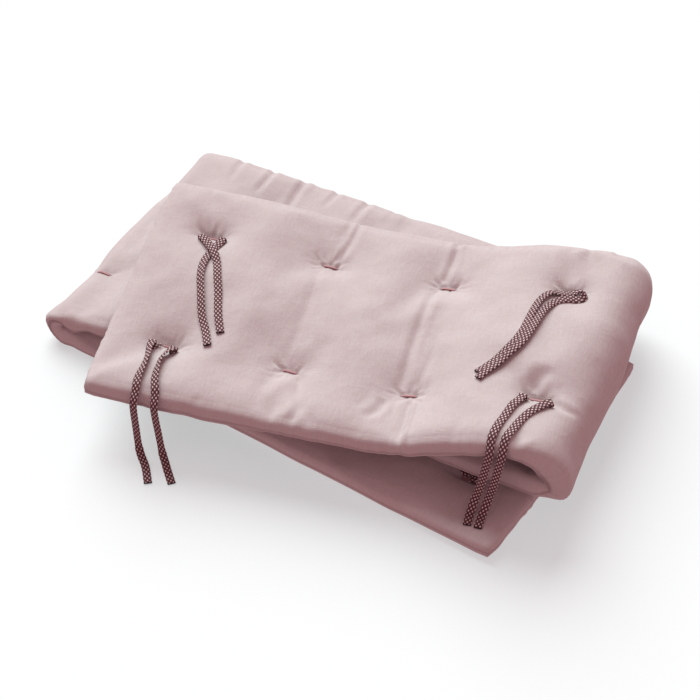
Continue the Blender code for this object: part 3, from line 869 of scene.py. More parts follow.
def rim_loop(count_s, count_t):
    """The border of the grid as one closed loop of (row, column), and its way out in s and t."""
    loop = [(i, 0, 0, -1) for i in range(count_s - 1)]
    loop += [(count_s - 1, j, 1, 0) for j in range(count_t - 1)]
    loop += [(i, count_t - 1, 0, 1) for i in range(count_s - 1, 0, -1)]
    loop += [(0, j, -1, 0) for j in range(count_t - 1, 0, -1)]
    loop = np.array(loop, float)
    corners = (0, count_s - 1, count_s + count_t - 2, 2 * count_s + count_t - 3)
    for corner, way in zip(corners, ((-1, -1), (1, -1), (1, 1), (-1, 1))):
        loop[corner, 2:] = np.array(way) * CORNER_OUT
    return loop[:, 0].astype(int), loop[:, 1].astype(int), loop[:, 2:]


# the rim's rings, by their turn in degrees from the upper face (above 0) to the lower, how square
# the rim is, and how much cloth it takes up
RIM_TURNS = (66.0, 45.0, 26.0, 12.0, 3.5, -3.5, -12.0, -26.0, -45.0, -66.0)
RIM_SQUARE = 0.75
RIM_ARC = 0.010
# how far the seam sits off the middle, as a share of the half thickness towards the upper face
# (above 0) or the lower face (below 0), along the front edge and along the back edge
FRONT_SEAM_AT = (0.00, 0.03, 0.42, 0.475, 0.545, 0.575, 0.70, 1.02, 1.08, 1.112, 1.140, 1.20, 1.68)
FRONT_SEAM = (-0.20, -0.55, -0.60, -0.97, -0.97, 0.70, 0.45, 0.50, 0.95, 0.95, -0.95, -0.60, -0.20)
BACK_SEAM_AT = (0.42, 0.475, 0.56, 0.60, 1.02, 1.09, 1.16, 1.20)
BACK_SEAM = (0.00, -0.80, -0.80, 0.00, 0.00, 0.80, 0.80, 0.00)
# where the front and the back edge begin, across the strip
EDGE_STEP = (0.10, 0.03)
# how far the strip's corners are rounded out
CORNER_OUT = 0.80
# the seam's groove, and half its width in degrees round the rim
SEAM_GROOVE = 0.0006
SEAM_TURN = 8.0
# how uneven the rim is, and over how many rings
PUCKER_HIGH = 0.00035
PUCKER_EVEN = 9
PUCKER_SEED = 11
# how dark the seam is, how much painted shade it gets at the folds' closed ends, and where those are
SEAM_MARK = 0.9
MOUTH_SHADE = 0.22
SHADED_MOUTHS = ((0.515, 0.035), (1.118, 0.022))


def painted_tack_shade(s, t):
    """Painted shade on the cloth: along the edge round each bar, and in the hollow behind it."""
    marks = np.zeros(s.shape)
    for _, _, at_s, at_t in tacks():
        edge = smooth(BAR_SHADE_EDGE - from_bar(s, t, at_s, at_t) / BAR_SHADE_REACH)
        behind = np.hypot((s - at_s) / DIMPLE_LONG, (t - at_t - DIMPLE_BACK) / DIMPLE_DEEP)
        marks = np.maximum(marks, np.maximum(edge, DIMPLE_SHADE * bump(behind)))
    return marks


def seam_level(s, t, above, below):
    """How high the seam sits on the rim, from the half thickness above and below it."""
    shift = past(-t, EDGE_STEP) * np.interp(s, FRONT_SEAM_AT, FRONT_SEAM)
    shift += past(t, EDGE_STEP) * np.interp(s, BACK_SEAM_AT, BACK_SEAM)
    return np.where(shift > 0, shift * above, shift * below)


def seam_and_mouth_shade(s, t):
    """How dark the seam is along the rim, with painted shade at the folds' closed ends."""
    in_mouth = np.maximum(*(hump_at(s, place) for place in SHADED_MOUTHS))
    return SEAM_MARK + MOUTH_SHADE * (past(-t, EDGE_STEP) * in_mouth)


def seam_share(turn):
    """1 on the seam, and nearly 0 away from it."""
    return math.exp(-((turn / SEAM_TURN) ** 2))


def rim_ring(turn, s, t, half, level, ways, pucker):
    """The places of one ring of the rim, from the edge of the face that it belongs to."""
    reach = RIM * math.cos(math.radians(turn)) ** RIM_SQUARE - SEAM_GROOVE * seam_share(turn)
    reach = reach + PUCKER_HIGH * pucker * (1.0 - abs(turn) / 90.0)
    rise = abs(math.sin(math.radians(turn))) ** RIM_SQUARE
    tall = level + (half - level) * rise if turn > 0 else level - (half + level) * rise
    s, t = s + ways[:, 0] * reach, t + ways[:, 1] * reach
    return middle(s, t) + upper_normal(s, t) * tall[:, None]


def build_pad(sides, s0, t0, material):
    """The pad's mesh: both faces, and the round rim between them with its seam."""
    # the faces' third value is the painted shade round each tack
    flat = np.stack((s0, t0, painted_tack_shade(s0, t0)), axis=-1).reshape(-1, 3)
    places, cloth = [], [flat, flat]
    for (s, t, half), (_, way) in zip(sides, FACES):
        places.append((middle(s, t) + upper_normal(s, t) * (half * way)[..., None]).reshape(-1, 3))
    upper = np.arange(s0.size).reshape(s0.shape)
    lower = upper + s0.size
    rows, columns, ways = rim_loop(*s0.shape)
    count = len(rows)
    edges = [[part[rows, columns] for part in side] for side in sides]
    s_rim, t_rim = s0[rows, columns], t0[rows, columns]
    level = seam_level(s_rim, t_rim, edges[0][2], edges[1][2])
    uneven = np.random.default_rng(PUCKER_SEED).normal(size=count + PUCKER_EVEN - 1)
    pucker = np.convolve(uneven, np.hanning(PUCKER_EVEN), "valid")[:count]
    rings = [upper[rows, columns]]
    for number, turn in enumerate(RIM_TURNS):
        places.append(rim_ring(turn, *edges[0 if turn > 0 else 1], level, ways, pucker))
        arc = RIM_ARC * (90.0 - abs(turn)) / 90.0
        # the seam's dark line, with painted shade at the folds' closed ends
        marks = seam_and_mouth_shade(s_rim, t_rim) * seam_share(turn)
        cloth.append(np.stack((s_rim + ways[:, 0] * arc, t_rim + ways[:, 1] * arc, marks), axis=-1))
        rings.append(2 * s0.size + number * count + np.arange(count))
    rings.append(lower[rows, columns])
    faces = [grid_faces(upper), grid_faces(lower)[:, ::-1]]
    for above, below in zip(rings, rings[1:]):
        faces.append(np.stack((above, below, np.roll(below, -1), np.roll(above, -1)), axis=-1))
    places = np.concatenate(places)
    places[:, 2] = np.maximum(places[:, 2], 0.0)
    mesh = make_mesh("pad_cover", places, np.concatenate(faces))
    add_values(mesh, "cloth", "FLOAT_VECTOR", np.concatenate(cloth))
    return add_piece("pad_cover", mesh, material)


# ---------------------------------------------------------------- the ties
# Routes of the tie ends, each from its tack outwards.  "cloth" points lie on the strip's upper
# face: along, across, height above it.  "hang" and "floor" points are places: x, y, z.
TIES = {
    "tie_1_back_over": (
        ("cloth", (0.0538, 0.0758, 0.0042), (0.0600, 0.0680, 0.0040), (0.0675, 0.0600, 0.0042)),
        ("cloth", (0.0755, 0.0510, 0.0038), (0.0835, 0.0370, 0.0000), (0.0890, 0.0200, 0.0000)),
        ("cloth", (0.0950, 0.0030, 0.0000), (0.1010, -0.0150, 0.0000), (0.1070, -0.0320, 0.0000)),
        ("cloth", (0.1160, -0.0540, 0.0000)),
    ),
    "tie_1_back_under": (
        ("cloth", (0.0755, 0.0775, 0.0042), (0.0750, 0.0680, 0.0022), (0.0725, 0.0575, 0.0000)),
        ("cloth", (0.0700, 0.0450, 0.0000), (0.0695, 0.0300, 0.0000), (0.0735, 0.0120, 0.0000)),
        ("cloth", (0.0820, -0.0120, 0.0000), (0.0900, -0.0340, 0.0000), (0.1000, -0.0540, 0.0000)),
        ("cloth", (0.1080, -0.0730, 0.0000)),
    ),
    "tie_1_front_left": (
        ("cloth", (0.0500, -0.0745, 0.0042), (0.0492, -0.0820, 0.0030), (0.0495, -0.0890, 0.0008)),
        ("cloth", (0.0520, -0.0990, 0.0000), (0.0535, -0.1160, 0.0000), (0.0535, -0.1320, 0.0010)),
        ("cloth", (0.0550, -0.1430, 0.0020)),
        ("hang", (-0.1358, -0.1940, 0.0690), (-0.1352, -0.1958, 0.0520), (-0.1345, -0.1960, 0.0320)),
        ("hang", (-0.1335, -0.1968, 0.0140)),
        ("floor", (-0.1300, -0.2005, 0.0030), (-0.1240, -0.2065, 0.0013), (-0.1150, -0.2150, 0.0013)),
        ("floor", (-0.1018, -0.2328, 0.0013)),
    ),
    "tie_1_front_right": (
        ("cloth", (0.0730, -0.0765, 0.0042), (0.0712, -0.0830, 0.0030), (0.0690, -0.0900, 0.0008)),
        ("cloth", (0.0670, -0.0970, 0.0000), (0.0675, -0.1130, 0.0000), (0.0710, -0.1310, 0.0010)),
        ("cloth", (0.0755, -0.1430, 0.0020)),
        ("hang", (-0.1145, -0.1900, 0.0690), (-0.1130, -0.1915, 0.0520), (-0.1110, -0.1918, 0.0320)),
        ("hang", (-0.1090, -0.1925, 0.0140)),
        ("floor", (-0.1055, -0.1955, 0.0030), (-0.1000, -0.2010, 0.0013), (-0.0930, -0.2090, 0.0013)),
        ("floor", (-0.0800, -0.2228, 0.0013)),
    ),
    "tie_4_back_right": (
        ("cloth", (0.4640, 0.0820, 0.0000), (0.4690, 0.0800, 0.0000), (0.4725, 0.0760, 0.0000)),
        ("cloth", (0.4710, 0.0710, 0.0005), (0.4650, 0.0685, 0.0010), (0.4560, 0.0655, 0.0010)),
        ("cloth", (0.4450, 0.0590, 0.0000), (0.4375, 0.0430, 0.0018), (0.4335, 0.0200, 0.0026)),
        ("cloth", (0.4305, 0.0000, 0.0026), (0.4260, -0.0200, 0.0026), (0.4155, -0.0360, 0.0026)),
        ("cloth", (0.4040, -0.0520, 0.0022), (0.3945, -0.0670, 0.0006)),
    ),
    "tie_4_back_left": (
        ("cloth", (0.4650, 0.0840, 0.0000), (0.4570, 0.0830, 0.0005), (0.4470, 0.0795, 0.0000)),
        ("cloth", (0.4370, 0.0720, 0.0010), (0.4300, 0.0570, 0.0000), (0.4270, 0.0370, 0.0000)),
        ("cloth", (0.4255, 0.0180, 0.0000), (0.4235, -0.0020, 0.0000), (0.4185, -0.0180, 0.0000)),
        ("cloth", (0.4090, -0.0330, 0.0000), (0.3985, -0.0480, 0.0000), (0.3915, -0.0580, 0.0000)),
    ),
    "tie_4_front_left": (
        ("cloth", (0.4403, -0.0781, 0.0042), (0.4378, -0.0860, 0.0022), (0.4335, -0.0960, 0.0020)),
        ("cloth", (0.4285, -0.1160, 0.0000), (0.4250, -0.1320, 0.0010), (0.4230, -0.1430, 0.0020)),
        ("hang", (0.2205, -0.1238, 0.0990), (0.2185, -0.1255, 0.0800), (0.2160, -0.1260, 0.0600)),
        ("hang", (0.2130, -0.1265, 0.0420), (0.2105, -0.1280, 0.0290)),
        ("cloth", (1.6412, -0.1200, 0.0010), (1.6468, -0.1360, 0.0000)),
    ),
    "tie_4_front_right": (
        ("cloth", (0.4658, -0.0815, 0.0042), (0.4600, -0.0885, 0.0022), (0.4470, -0.1080, 0.0000)),
        ("cloth", (0.4400, -0.1270, 0.0010), (0.4355, -0.1430, 0.0020)),
        ("hang", (0.2325, -0.1218, 0.1000), (0.2305, -0.1238, 0.0800), (0.2280, -0.1245, 0.0600)),
        ("hang", (0.2250, -0.1250, 0.0420), (0.2228, -0.1268, 0.0290)),
        ("cloth", (1.6530, -0.1170, 0.0010), (1.6580, -0.1340, 0.0000)),
    ),
}
# Ties that lie between the layers, plainly: column, row, how far the ends run along and across
HIDDEN_TIES = (
    (6, 1, -0.135, 0.000),
    (6, -1, -0.135, 0.000),
    (9, 1, 0.135, 0.000),
    (9, -1, 0.135, 0.000),
    (12, 1, -0.135, 0.000),
    (12, -1, -0.015, 0.120),
)
# How far a tape is rolled about its own length: distance from its tack, then degrees
ROLLS = {
    "tie_1_back_over": ((0.000, 0), (0.030, 12), (0.060, 5), (0.166, 0)),
    "tie_1_back_under": ((0.000, 0), (0.030, 5), (0.070, 32), (0.140, 12)),
    "tie_1_front_left": ((0.000, 0), (0.014, 40), (0.035, 48), (0.060, 20), (0.080, 0)),
    "tie_1_front_right": ((0.000, 0), (0.014, 45), (0.035, 55), (0.060, 20), (0.080, 0)),
    "tie_4_back_right": ((0.000, -80), (0.012, -65), (0.020, -10), (0.060, 0)),
    "tie_4_back_left": ((0.000, 10), (0.020, 12), (0.100, 8), (0.177, 6)),
    "tie_4_front_left": ((0.000, 0), (0.060, 0)),
    "tie_4_front_right": ((0.000, 0), (0.060, 0)),
}
FLAT_LAY = ((0.000, 0), (1.000, 0))
# Ties that fold back under themselves beside the bar: the end of the bar that they come from
HAIRPINS = {
    "tie_1_back_over": (0.0585, 0.0825),
    "tie_1_back_under": (0.0745, 0.0820),
    "tie_1_front_left": (0.0585, -0.0720),
    "tie_1_front_right": (0.0745, -0.0720),
    "tie_4_front_left": (0.4450, -0.0750),
    "tie_4_front_right": (0.4600, -0.0755),
}
# the turn under the tape's top, how far it goes back under it, and how many rings it takes
HAIRPIN_RADIUS = 0.0021
HAIRPIN_UNDER = 0.0050
HAIRPIN_STEPS = 10
# the lead from the bar to that turn: its width at the bar, where it widens (in thirds of the
# lead), its height over the cloth, and its corner, onwards and aside
LEAD_WIDTH = 0.0030
LEAD_WIDENS = (1.9, 1.0)
LEAD_RISE = 0.0013
LEAD_CORNER = (0.0012, 0.0016)
# how much of a tape keeps the curl of its route at the tack
CURLS = {"tie_4_back_right": 0.030}
# the gap between two rings, where the tape shows and where it is hidden, and the rings' form
FINE_RING = 0.0013
COARSE_RING = 0.0042
TAPE_SIDES = 14
TAPE_ROUNDING = 0.55
FEWEST_RINGS = 8
LOOKS_PER_POINT = 20
# how a hanging tape faces: to the front and a little up
HANG_FACING = (0.0, -1.0, 0.15)
# settling on the cloth: the edges' gap beyond the tape's own, how far they may be lifted, the
# rounds before the last one, and over how many rings its moves and its line are evened out
EDGE_GAP = TAPE_GAP + 0.0004
EDGE_LIFT = 0.004
SETTLE_ROUNDS = 4
EVEN_MOVES = 7
EVEN_LINE = 5
EVEN_LAST = 3
FLOOR_GAP = 0.0002
# how dark the painted shade over the cut end is at its rim
END_SHADE_RIM = 0.6
# twin ends between the layers: how far each starts off the tack's line and then lies off it, by
# what share of its length it is there, and where its points are, as shares
TWIN_START = 0.0032
TWIN_BEYOND = 0.0058
TWIN_PARTS = 0.1
TWIN_SHARES = (0.07, 0.20, 0.40, 0.60, 0.80, 1.0)
# the pair that turns across the strip: how far off the tack, its first points as shares of that
# with their heights, and the others as shares of its length
TWIN_ACROSS = 0.012
ACROSS_START = ((0.1, 0.0005), (0.75, 0.002))
ACROSS_SHARES = (0.07, 0.25, 0.50, 0.75, 1.0)


def plain_half(s, t):
    """Half the thickness of the plain strip towards its upper face, where the routes lie."""
    edge = min(s, STRIP_LENGTH - s, STRIP_WIDTH / 2 - abs(t))
    crowned = float(smooth(edge / CROWN_REACH))
    half = EDGE_HALF + (float(by_layer(np.array(s), 0)) - EDGE_HALF) * crowned
    column = (s - END_MARGIN) / TACK_PITCH
    from_column = abs(column - round(column)) * TACK_PITCH
    half *= 1.0 - VALLEY_DEPTH * float(bump(from_column / VALLEY_REACH)) * crowned
    for _, _, at_s, at_t in tacks():
        off = math.hypot(s - at_s, t - at_t)
        half *= 1.0 - TACK_DEPTH * math.exp(-((off / TACK_REACH) ** TACK_SHARPNESS))
    return half


def hidden_tie(column, row, side, ahead, aside):
    """The route of a tie end between the layers, beside its twin."""
    s = END_MARGIN + column * TACK_PITCH
    t = row * TACK_ROW
    if aside:
        points = [(s + far * TWIN_ACROSS * side, t, height) for far, height in ACROSS_START]
        for share in ACROSS_SHARES:
            points.append((s + share * ahead + TWIN_ACROSS * side, t + share * aside, 0.0))
        return [("cloth", *points)]
    points = [(s, t + TWIN_START * side, 0.0)]
    for share in TWIN_SHARES:
        parted = float(smooth(share / TWIN_PARTS))
        beside = (TWIN_START + (TWIN_BEYOND - TWIN_START) * parted) * side
        points.append((s + share * ahead, t + beside, 0.0))
    return [("cloth", *points)]


def between(values, u):
    """A smooth curve through the values (Catmull-Rom), read at u, with whole u at the values."""
    i = min(int(u), len(values) - 2)
    x = u - i
    start, begin, end = values[max(i - 1, 0)], values[i], values[i + 1]
    after = values[min(i + 2, len(values) - 1)]
    return 0.5 * (
        2 * begin + (end - start) * x + (2 * start - 5 * begin + 4 * end - after) * x ** 2
        + (3 * begin - start - 3 * end + after) * x ** 3
    )


def route_place(kind, a, b, c):
    """A point of a route: its place, the way its tape faces, and its height above the cloth."""
    if kind == "cloth":
        normal = upper_normal(a, b)
        return middle(a, b) + normal * (plain_half(a, b) + c), normal, c
    facing = HANG_FACING if kind == "hang" else (0.0, 0.0, 1.0)
    return np.array((a, b, c)), np.array(facing), None


def units(vectors):
    """Vectors of length 1, row by row."""
    return vectors / np.linalg.norm(vectors, axis=-1, keepdims=True)


def above_cloth(cloth, point):
    """How far a point stands above the nearest cloth, and which way is out of it."""
    place, normal, _, _ = cloth.find_nearest(Vector(point))
    return float(np.dot(point - np.array(place), np.array(normal))), np.array(normal)


def resting_move(height, stand, gap, normal):
    """The move that sets a ring at its height over the cloth."""
    return normal * (stand + TAPE_GAP + max(height, 0.0) - gap)


def clearing_move(point, side, width, stand, cloth):
    """The move that takes a ring out of the cloth, or nothing."""
    move = np.zeros(3)
    gap, normal = above_cloth(cloth, point)
    if gap < stand + TAPE_GAP:
        move = normal * (stand + TAPE_GAP - gap)
    for edge in (-0.5, 0.5):
        gap, normal = above_cloth(cloth, point + side * (edge * width))
        short = EDGE_GAP - gap
        if 0.0 < short < EDGE_LIFT and short > np.linalg.norm(move):
            move = normal * short
    return move


def settled(centres, sides, widths, stands, heights, knot, cloth):
    """Centres moved so that the tape rests on the cloth, and nowhere goes into it.

    The first rings, knot many of them, keep the tight curl that they have at the tack.
    """
    for last in (False,) * SETTLE_ROUNDS + (True,):
        moves = np.zeros(centres.shape)
        for i, point in enumerate(centres):
            if heights[i] is not None and not last:
                moves[i] = resting_move(heights[i], stands[i], *above_cloth(cloth, point))
            else:
                moves[i] = clearing_move(point, sides[i], widths[i], stands[i], cloth)
        if not last:
            moves = even(moves, EVEN_MOVES)
        curl = (centres + moves)[:knot]
        centres = even(centres + moves, EVEN_LAST if last else EVEN_LINE)
        centres[:knot] = curl
    return centres


def even(rows, width):
    """Rows evened out along the tape, with both ends kept."""
    wide = np.pad(rows, ((width // 2, width // 2), (0, 0)), mode="edge")
    weights = np.hanning(width + 2)[1:-1]
    weights /= weights.sum()
    out = sum(weights[k] * wide[k:k + len(rows)] for k in range(width))
    out[0], out[-1] = rows[0], rows[-1]
    return out


def resting_heights(tops, us):
    """How far above the cloth each ring rests, or None where the tape hangs free."""
    heights = []
    for u in us:
        i = min(int(u), len(tops) - 2)
        if tops[i] is None or tops[i + 1] is None:
            heights.append(None)
        else:
            heights.append(tops[i] + (tops[i + 1] - tops[i]) * (u - i))
    return heights


def distances_along(line):
    """How far along a line each of its points is."""
    return np.concatenate(([0.0], np.cumsum(np.linalg.norm(np.diff(line, axis=0), axis=1))))


def tape_rings(name, route, cloth, step):
    """A tape's rings along its route: centres, sides, facings, widths, thicknesses, distances."""
    points = [(kind, *point) for kind, *points in route for point in points]
    points, facings, tops = zip(*(route_place(*point) for point in points))
    fine = np.linspace(0, len(points) - 1, LOOKS_PER_POINT * (len(points) - 1) + 1)
    run = distances_along(np.array([between(points, u) for u in fine]))
    distances = np.linspace(0.0, run[-1], max(FEWEST_RINGS, round(run[-1] / step)) + 1)
    us = np.interp(distances, run, fine)
    rolls = np.radians(np.interp(distances, *zip(*ROLLS.get(name, FLAT_LAY))))
    widths = np.full(len(us), TAPE_WIDTH)
    thicks = np.full(len(us), THIN_TAPE if step > FINE_RING else FULL_THICK)
    stands = widths / 2 * np.abs(np.sin(rolls)) + thicks / 2 * np.abs(np.cos(rolls))
    centres = np.array([between(points, u) for u in us])
    outs = units(np.array([between(facings, u) for u in us]))
    sides = units(np.cross(outs, units(np.gradient(centres, axis=0))))
    knot = max(int(np.searchsorted(distances, CURLS.get(name, 0.0))), 1)
    centres = settled(centres, sides, widths, stands, resting_heights(tops, us), knot, cloth)
    centres[:, 2] = np.maximum(centres[:, 2], stands + FLOOR_GAP)
    ahead = units(np.gradient(centres, axis=0))
    sides = units(np.cross(outs, ahead))
    facings = np.cross(ahead, sides)
    cos, sin = np.cos(rolls)[:, None], np.sin(rolls)[:, None]
    rings = [centres, sides * cos + facings * sin, facings * cos - sides * sin, widths, thicks]
    if name in HAIRPINS:
        lead = hairpin(*(part[0] for part in rings[:3]), HAIRPINS[name], cloth)
        lead.append(np.full(len(lead[0]), thicks[0]))
        rings = [np.concatenate(parts) for parts in zip(lead, rings)]
    return rings + [distances_along(rings[0])]


def lead_line(bar_end, under, turn_start, ahead, cloth):
    """The line from the bar's end over the cloth to where the tape turns up."""
    s, t = bar_end
    start = middle(s, t) + upper_normal(s, t) * plain_half(s, t)
    gap, normal = above_cloth(cloth, start)
    start = start + normal * (LEAD_RISE - gap)
    aside = start - under
    aside = aside - ahead * np.dot(aside, ahead)
    aside = aside / np.linalg.norm(aside)
    corner = under + ahead * LEAD_CORNER[0] + aside * LEAD_CORNER[1]
    points = [start, corner, under, turn_start]
    us = np.linspace(0.0, 3.0, 3 * HAIRPIN_STEPS, endpoint=False)
    line = np.array([between(points, u) for u in us])
    for i, place in enumerate(line[: 2 * HAIRPIN_STEPS]):
        gap, normal = above_cloth(cloth, place)
        line[i] = place + normal * max(LEAD_RISE - gap, 0.0)
    return line


def hairpin(top, side, facing, bar_end, cloth):
    """The rings that lead from the bar's end, under the tape's top, and round up into it."""
    ahead = np.cross(side, facing)
    turns = np.linspace(math.pi, 0.0, HAIRPIN_STEPS, endpoint=False)[:, None]
    round_up = top - ahead * HAIRPIN_RADIUS * np.sin(turns)
    round_up = round_up - facing * HAIRPIN_RADIUS * (1 - np.cos(turns))
    up_facings = facing * np.cos(turns) - ahead * np.sin(turns)
    under = round_up[0] + ahead * HAIRPIN_UNDER
    lead = lead_line(bar_end, under, round_up[0], ahead, cloth)
    centres = np.concatenate((lead, round_up))
    facings = np.concatenate((np.repeat(-facing[None], len(lead), axis=0), up_facings))
    onward = units(np.gradient(np.concatenate((centres, top[None])), axis=0))[:-1]
    sides = units(np.cross(facings, onward))
    sides[len(lead):] = side
    facings = np.cross(onward, sides)
    widths = np.full(len(centres), TAPE_WIDTH)
    share = past(np.arange(len(lead)) / HAIRPIN_STEPS, LEAD_WIDENS)
    widths[: len(lead)] = LEAD_WIDTH + (TAPE_WIDTH - LEAD_WIDTH) * share
    return [centres, sides, facings, widths]


def tape_mesh(name, centres, sides, facings, widths, thicks, distances):
    """A flat knitted tube through its rings, closed at both ends."""
    turn = np.linspace(0.0, 2 * math.pi, TAPE_SIDES, endpoint=False)
    across = np.sign(np.cos(turn)) * np.abs(np.cos(turn)) ** TAPE_ROUNDING
    up = np.sign(np.sin(turn)) * np.abs(np.sin(turn)) ** TAPE_ROUNDING
    rings = (
        centres[:, None] + sides[:, None] * (across * widths[:, None] / 2)[..., None]
        + facings[:, None] * (up * thicks[:, None] / 2)[..., None]
    )
    count = len(centres)
    grid = np.arange(count * TAPE_SIDES).reshape(count, TAPE_SIDES)
    grid = np.concatenate((grid, grid[:, :1]), axis=1)
    places = np.concatenate((rings.reshape(-1, 3), centres[:1], centres[-1:]))
    faces = grid_faces(grid)[:, ::-1].tolist()
    first, last = count * TAPE_SIDES, count * TAPE_SIDES + 1
    for i in range(TAPE_SIDES):
        faces.append((int(grid[0, i]), first, int(grid[0, i + 1])))
        faces.append((int(grid[-1, i + 1]), last, int(grid[-1, i])))
    mesh = bpy.data.meshes.new(name)
    mesh.from_pydata(places.tolist(), [], faces)
    weave = np.zeros((len(places), 3))
    weave[:first, 0] = np.repeat(distances, TAPE_SIDES)
    weave[:first, 1] = (across * widths[:, None] / 2).ravel()
    # painted shade over the cut end: full in its middle, less at its rim
    weave[last] = (distances[-1], 0.0, 1.0)
    weave[first - TAPE_SIDES:first, 2] = END_SHADE_RIM
    add_values(mesh, "tape", "FLOAT_VECTOR", weave)
    return mesh


def make_tape(name, route, cloth, step, material):
    """One free end of a tie, cut square at its end."""
    rings = tape_rings(name, route, cloth, step)
    centres = rings[0]
    piece = add_piece(name + "_knit", tape_mesh(name + "_knit", *rings), material)
    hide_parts(name)
    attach(piece, "root")
    length = float(np.linalg.norm(np.diff(centres, axis=0), axis=1).sum())


def make_ties(cloth, material):
    """All twenty free ends: two at each tack of every third column."""
    for name, route in TIES.items():
        make_tape(name, route, cloth, FINE_RING, material)
    for column, row, ahead, aside in HIDDEN_TIES:
        for side in (-1, 1):
            name = f"tie_{column + 1}_{'back' if row > 0 else 'front'}_{'b' if side > 0 else 'a'}"
            route = hidden_tie(column, row, side, ahead, aside)
            make_tape(name, route, cloth, COARSE_RING, material)


# ---------------------------------------------------------------- the bar tacks
# a bar's stitches, its rings for each and their sides, its height over the cloth, and how much
# painted shade darkens it at its sides
BAR_RIDGES = 24
RINGS_PER_RIDGE = 4
BAR_SIDES = 7
BAR_HIGH = 0.0010
BAR_SIDE_SHADE = 0.35
BAR_SHADE_POWER = 0.8
# the thread between two stitches, the bar's size at its ends, and how square the ends are
RIDGE_LOW = 0.82
END_SIZE = 0.15
END_SQUARE = 9
BAR_LEAN = 0.10
BAR_SEED = 3
# how far off the middle surface the cloth under a bar is looked for, its height where none is
# found, and over how many rings the height is evened out
BAR_LOOK = 0.010
BAR_REST = 0.002
BAR_EVEN = 19


def bar_heights(cloth, line, normals):
    """How high the cloth stands over the middle surface along a bar, evened out."""
    highs = []
    for place, normal in zip(line, normals):
        hit = cloth.ray_cast(Vector(place + normal * BAR_LOOK), Vector(-normal), 2 * BAR_LOOK)
        highs.append(BAR_LOOK - hit[3] if hit[0] is not None else np.nan)
    highs = np.array(highs)
    highs[np.isnan(highs)] = np.nanmean(highs) if np.isfinite(highs).any() else BAR_REST
    weights = np.hanning(BAR_EVEN) / np.hanning(BAR_EVEN).sum()
    return np.convolve(np.pad(highs, BAR_EVEN // 2 - 1, "edge"), weights[1:-1], "valid")


def bar_rings(cloth, s, t, way, size):
    """The places of one bar's rings, half round over the cloth."""
    line, normals = middle(s, t), upper_normal(s, t) * way
    centre = line + normals * bar_heights(cloth, line, normals)[:, None]
    side = np.cross(normals, units(np.gradient(centre, axis=0)))
    turn = np.linspace(0.0, math.pi, BAR_SIDES)
    across = (size[:, None] * np.cos(turn) * BAR_WIDTH / 2)[..., None]
    up = (size[:, None] * np.sin(turn) * BAR_HIGH)[..., None]
    return centre[:, None] + side[:, None] * across + normals[:, None] * up


def make_bars(cloth, material):
    """A bar of close stitches over each tack, on both faces, as one mesh."""
    rings = RINGS_PER_RIDGE * BAR_RIDGES + 1
    along = np.linspace(-0.5, 0.5, rings)
    waves = np.abs(np.sin((along + 0.5) * BAR_RIDGES * math.pi))
    ridge = RIDGE_LOW + (1.0 - RIDGE_LOW) * waves
    taper = np.sqrt(np.clip(1.0 - np.abs(2 * along) ** END_SQUARE, 0.0, 1.0))
    size = ridge * (taper * (1.0 - END_SIZE) + END_SIZE)
    turn = np.linspace(0.0, math.pi, BAR_SIDES)
    side_shade = BAR_SIDE_SHADE * (1.0 - np.sin(turn)) ** BAR_SHADE_POWER
    grid = np.arange(rings * BAR_SIDES).reshape(rings, BAR_SIDES)
    places, faces = [], []
    rng = np.random.default_rng(BAR_SEED)
    for _, _, at_s, at_t in tacks():
        for _, way in FACES:
            lean = rng.uniform(-BAR_LEAN, BAR_LEAN)
            s = at_s + along * BAR_LENGTH
            t = at_t + along * BAR_LENGTH * lean
            faces.append(grid_faces(grid)[:, ::-1] + len(places) * grid.size)
            places.append(bar_rings(cloth, s, t, way, size).reshape(-1, 3))
    mesh = make_mesh("bar_tacks", np.concatenate(places), np.concatenate(faces))
    # the thread's painted light and shade: lighter on each stitch's crest, darker between stitches
    # and at the sides
    marks = (ridge[:, None] - side_shade).ravel()
    add_values(mesh, "ridge", "FLOAT", np.tile(marks, len(places)))
    bars = add_piece("bar_tacks", mesh, material)
    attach(bars, "root")


# ---------------------------------------------------------------- materials
# a material's finish is its roughness and its sheen
COTTON_FINISH = (0.88, 0.15)
TAPE_FINISH = (0.75, 0.10)
THREAD_FINISH = (0.60, 0.10)
CLOTH_SPECULAR = 0.25
SHEEN_ROUGHNESS = 0.4
COTTON = (0.640, 0.588, 0.582, 1.0)
COTTON_DEEP = (0.550, 0.470, 0.468, 1.0)
# the seam's colour, also used for the painted shade at the tacks and the folds' closed ends
SEAM_AND_PAINTED_SHADE = (0.20, 0.115, 0.12, 1.0)
TAPE_PLUM = (0.085, 0.029, 0.035, 1.0)
TAPE_PLUM_LIGHT = (0.130, 0.050, 0.057, 1.0)
TAPE_DOT = (0.76, 0.64, 0.63, 1.0)
# painted shade over the tape's cut end
TAPE_END_SHADE = (0.02, 0.008, 0.010, 1.0)
# the thread as lit on its stitches, and as in painted shade
THREAD = (0.76, 0.46, 0.47, 1.0)
THREAD_PAINTED_SHADE = (0.24, 0.10, 0.105, 1.0)
# the noises: how many to the metre along, across and through, detail, and roughness if not 0.5
WARP = ((1500.0, 110.0, 0.0), 3.0)
WEFT = ((110.0, 1500.0, 0.0), 3.0)
SLUBS = ((700.0, 45.0, 0.0), 1.0)
PATCHES = ((18.0, 18.0, 0.0), 2.0)
SOFT_WRINKLES = ((42.0, 60.0, 0.0), 3.0, 0.55)
SHARP_WRINKLES = ((30.0, 23.0, 0.0), 1.0)
KNIT = ((900.0, 900.0, 0.0), 2.0)
# what the threads and the broad patches add to the cotton's deeper colour: times, plus
SLUB_SHARE = 0.7
THREADS_DEEPEN = (0.9, -0.85)
PATCHES_DEEPEN = (0.5, -0.25)
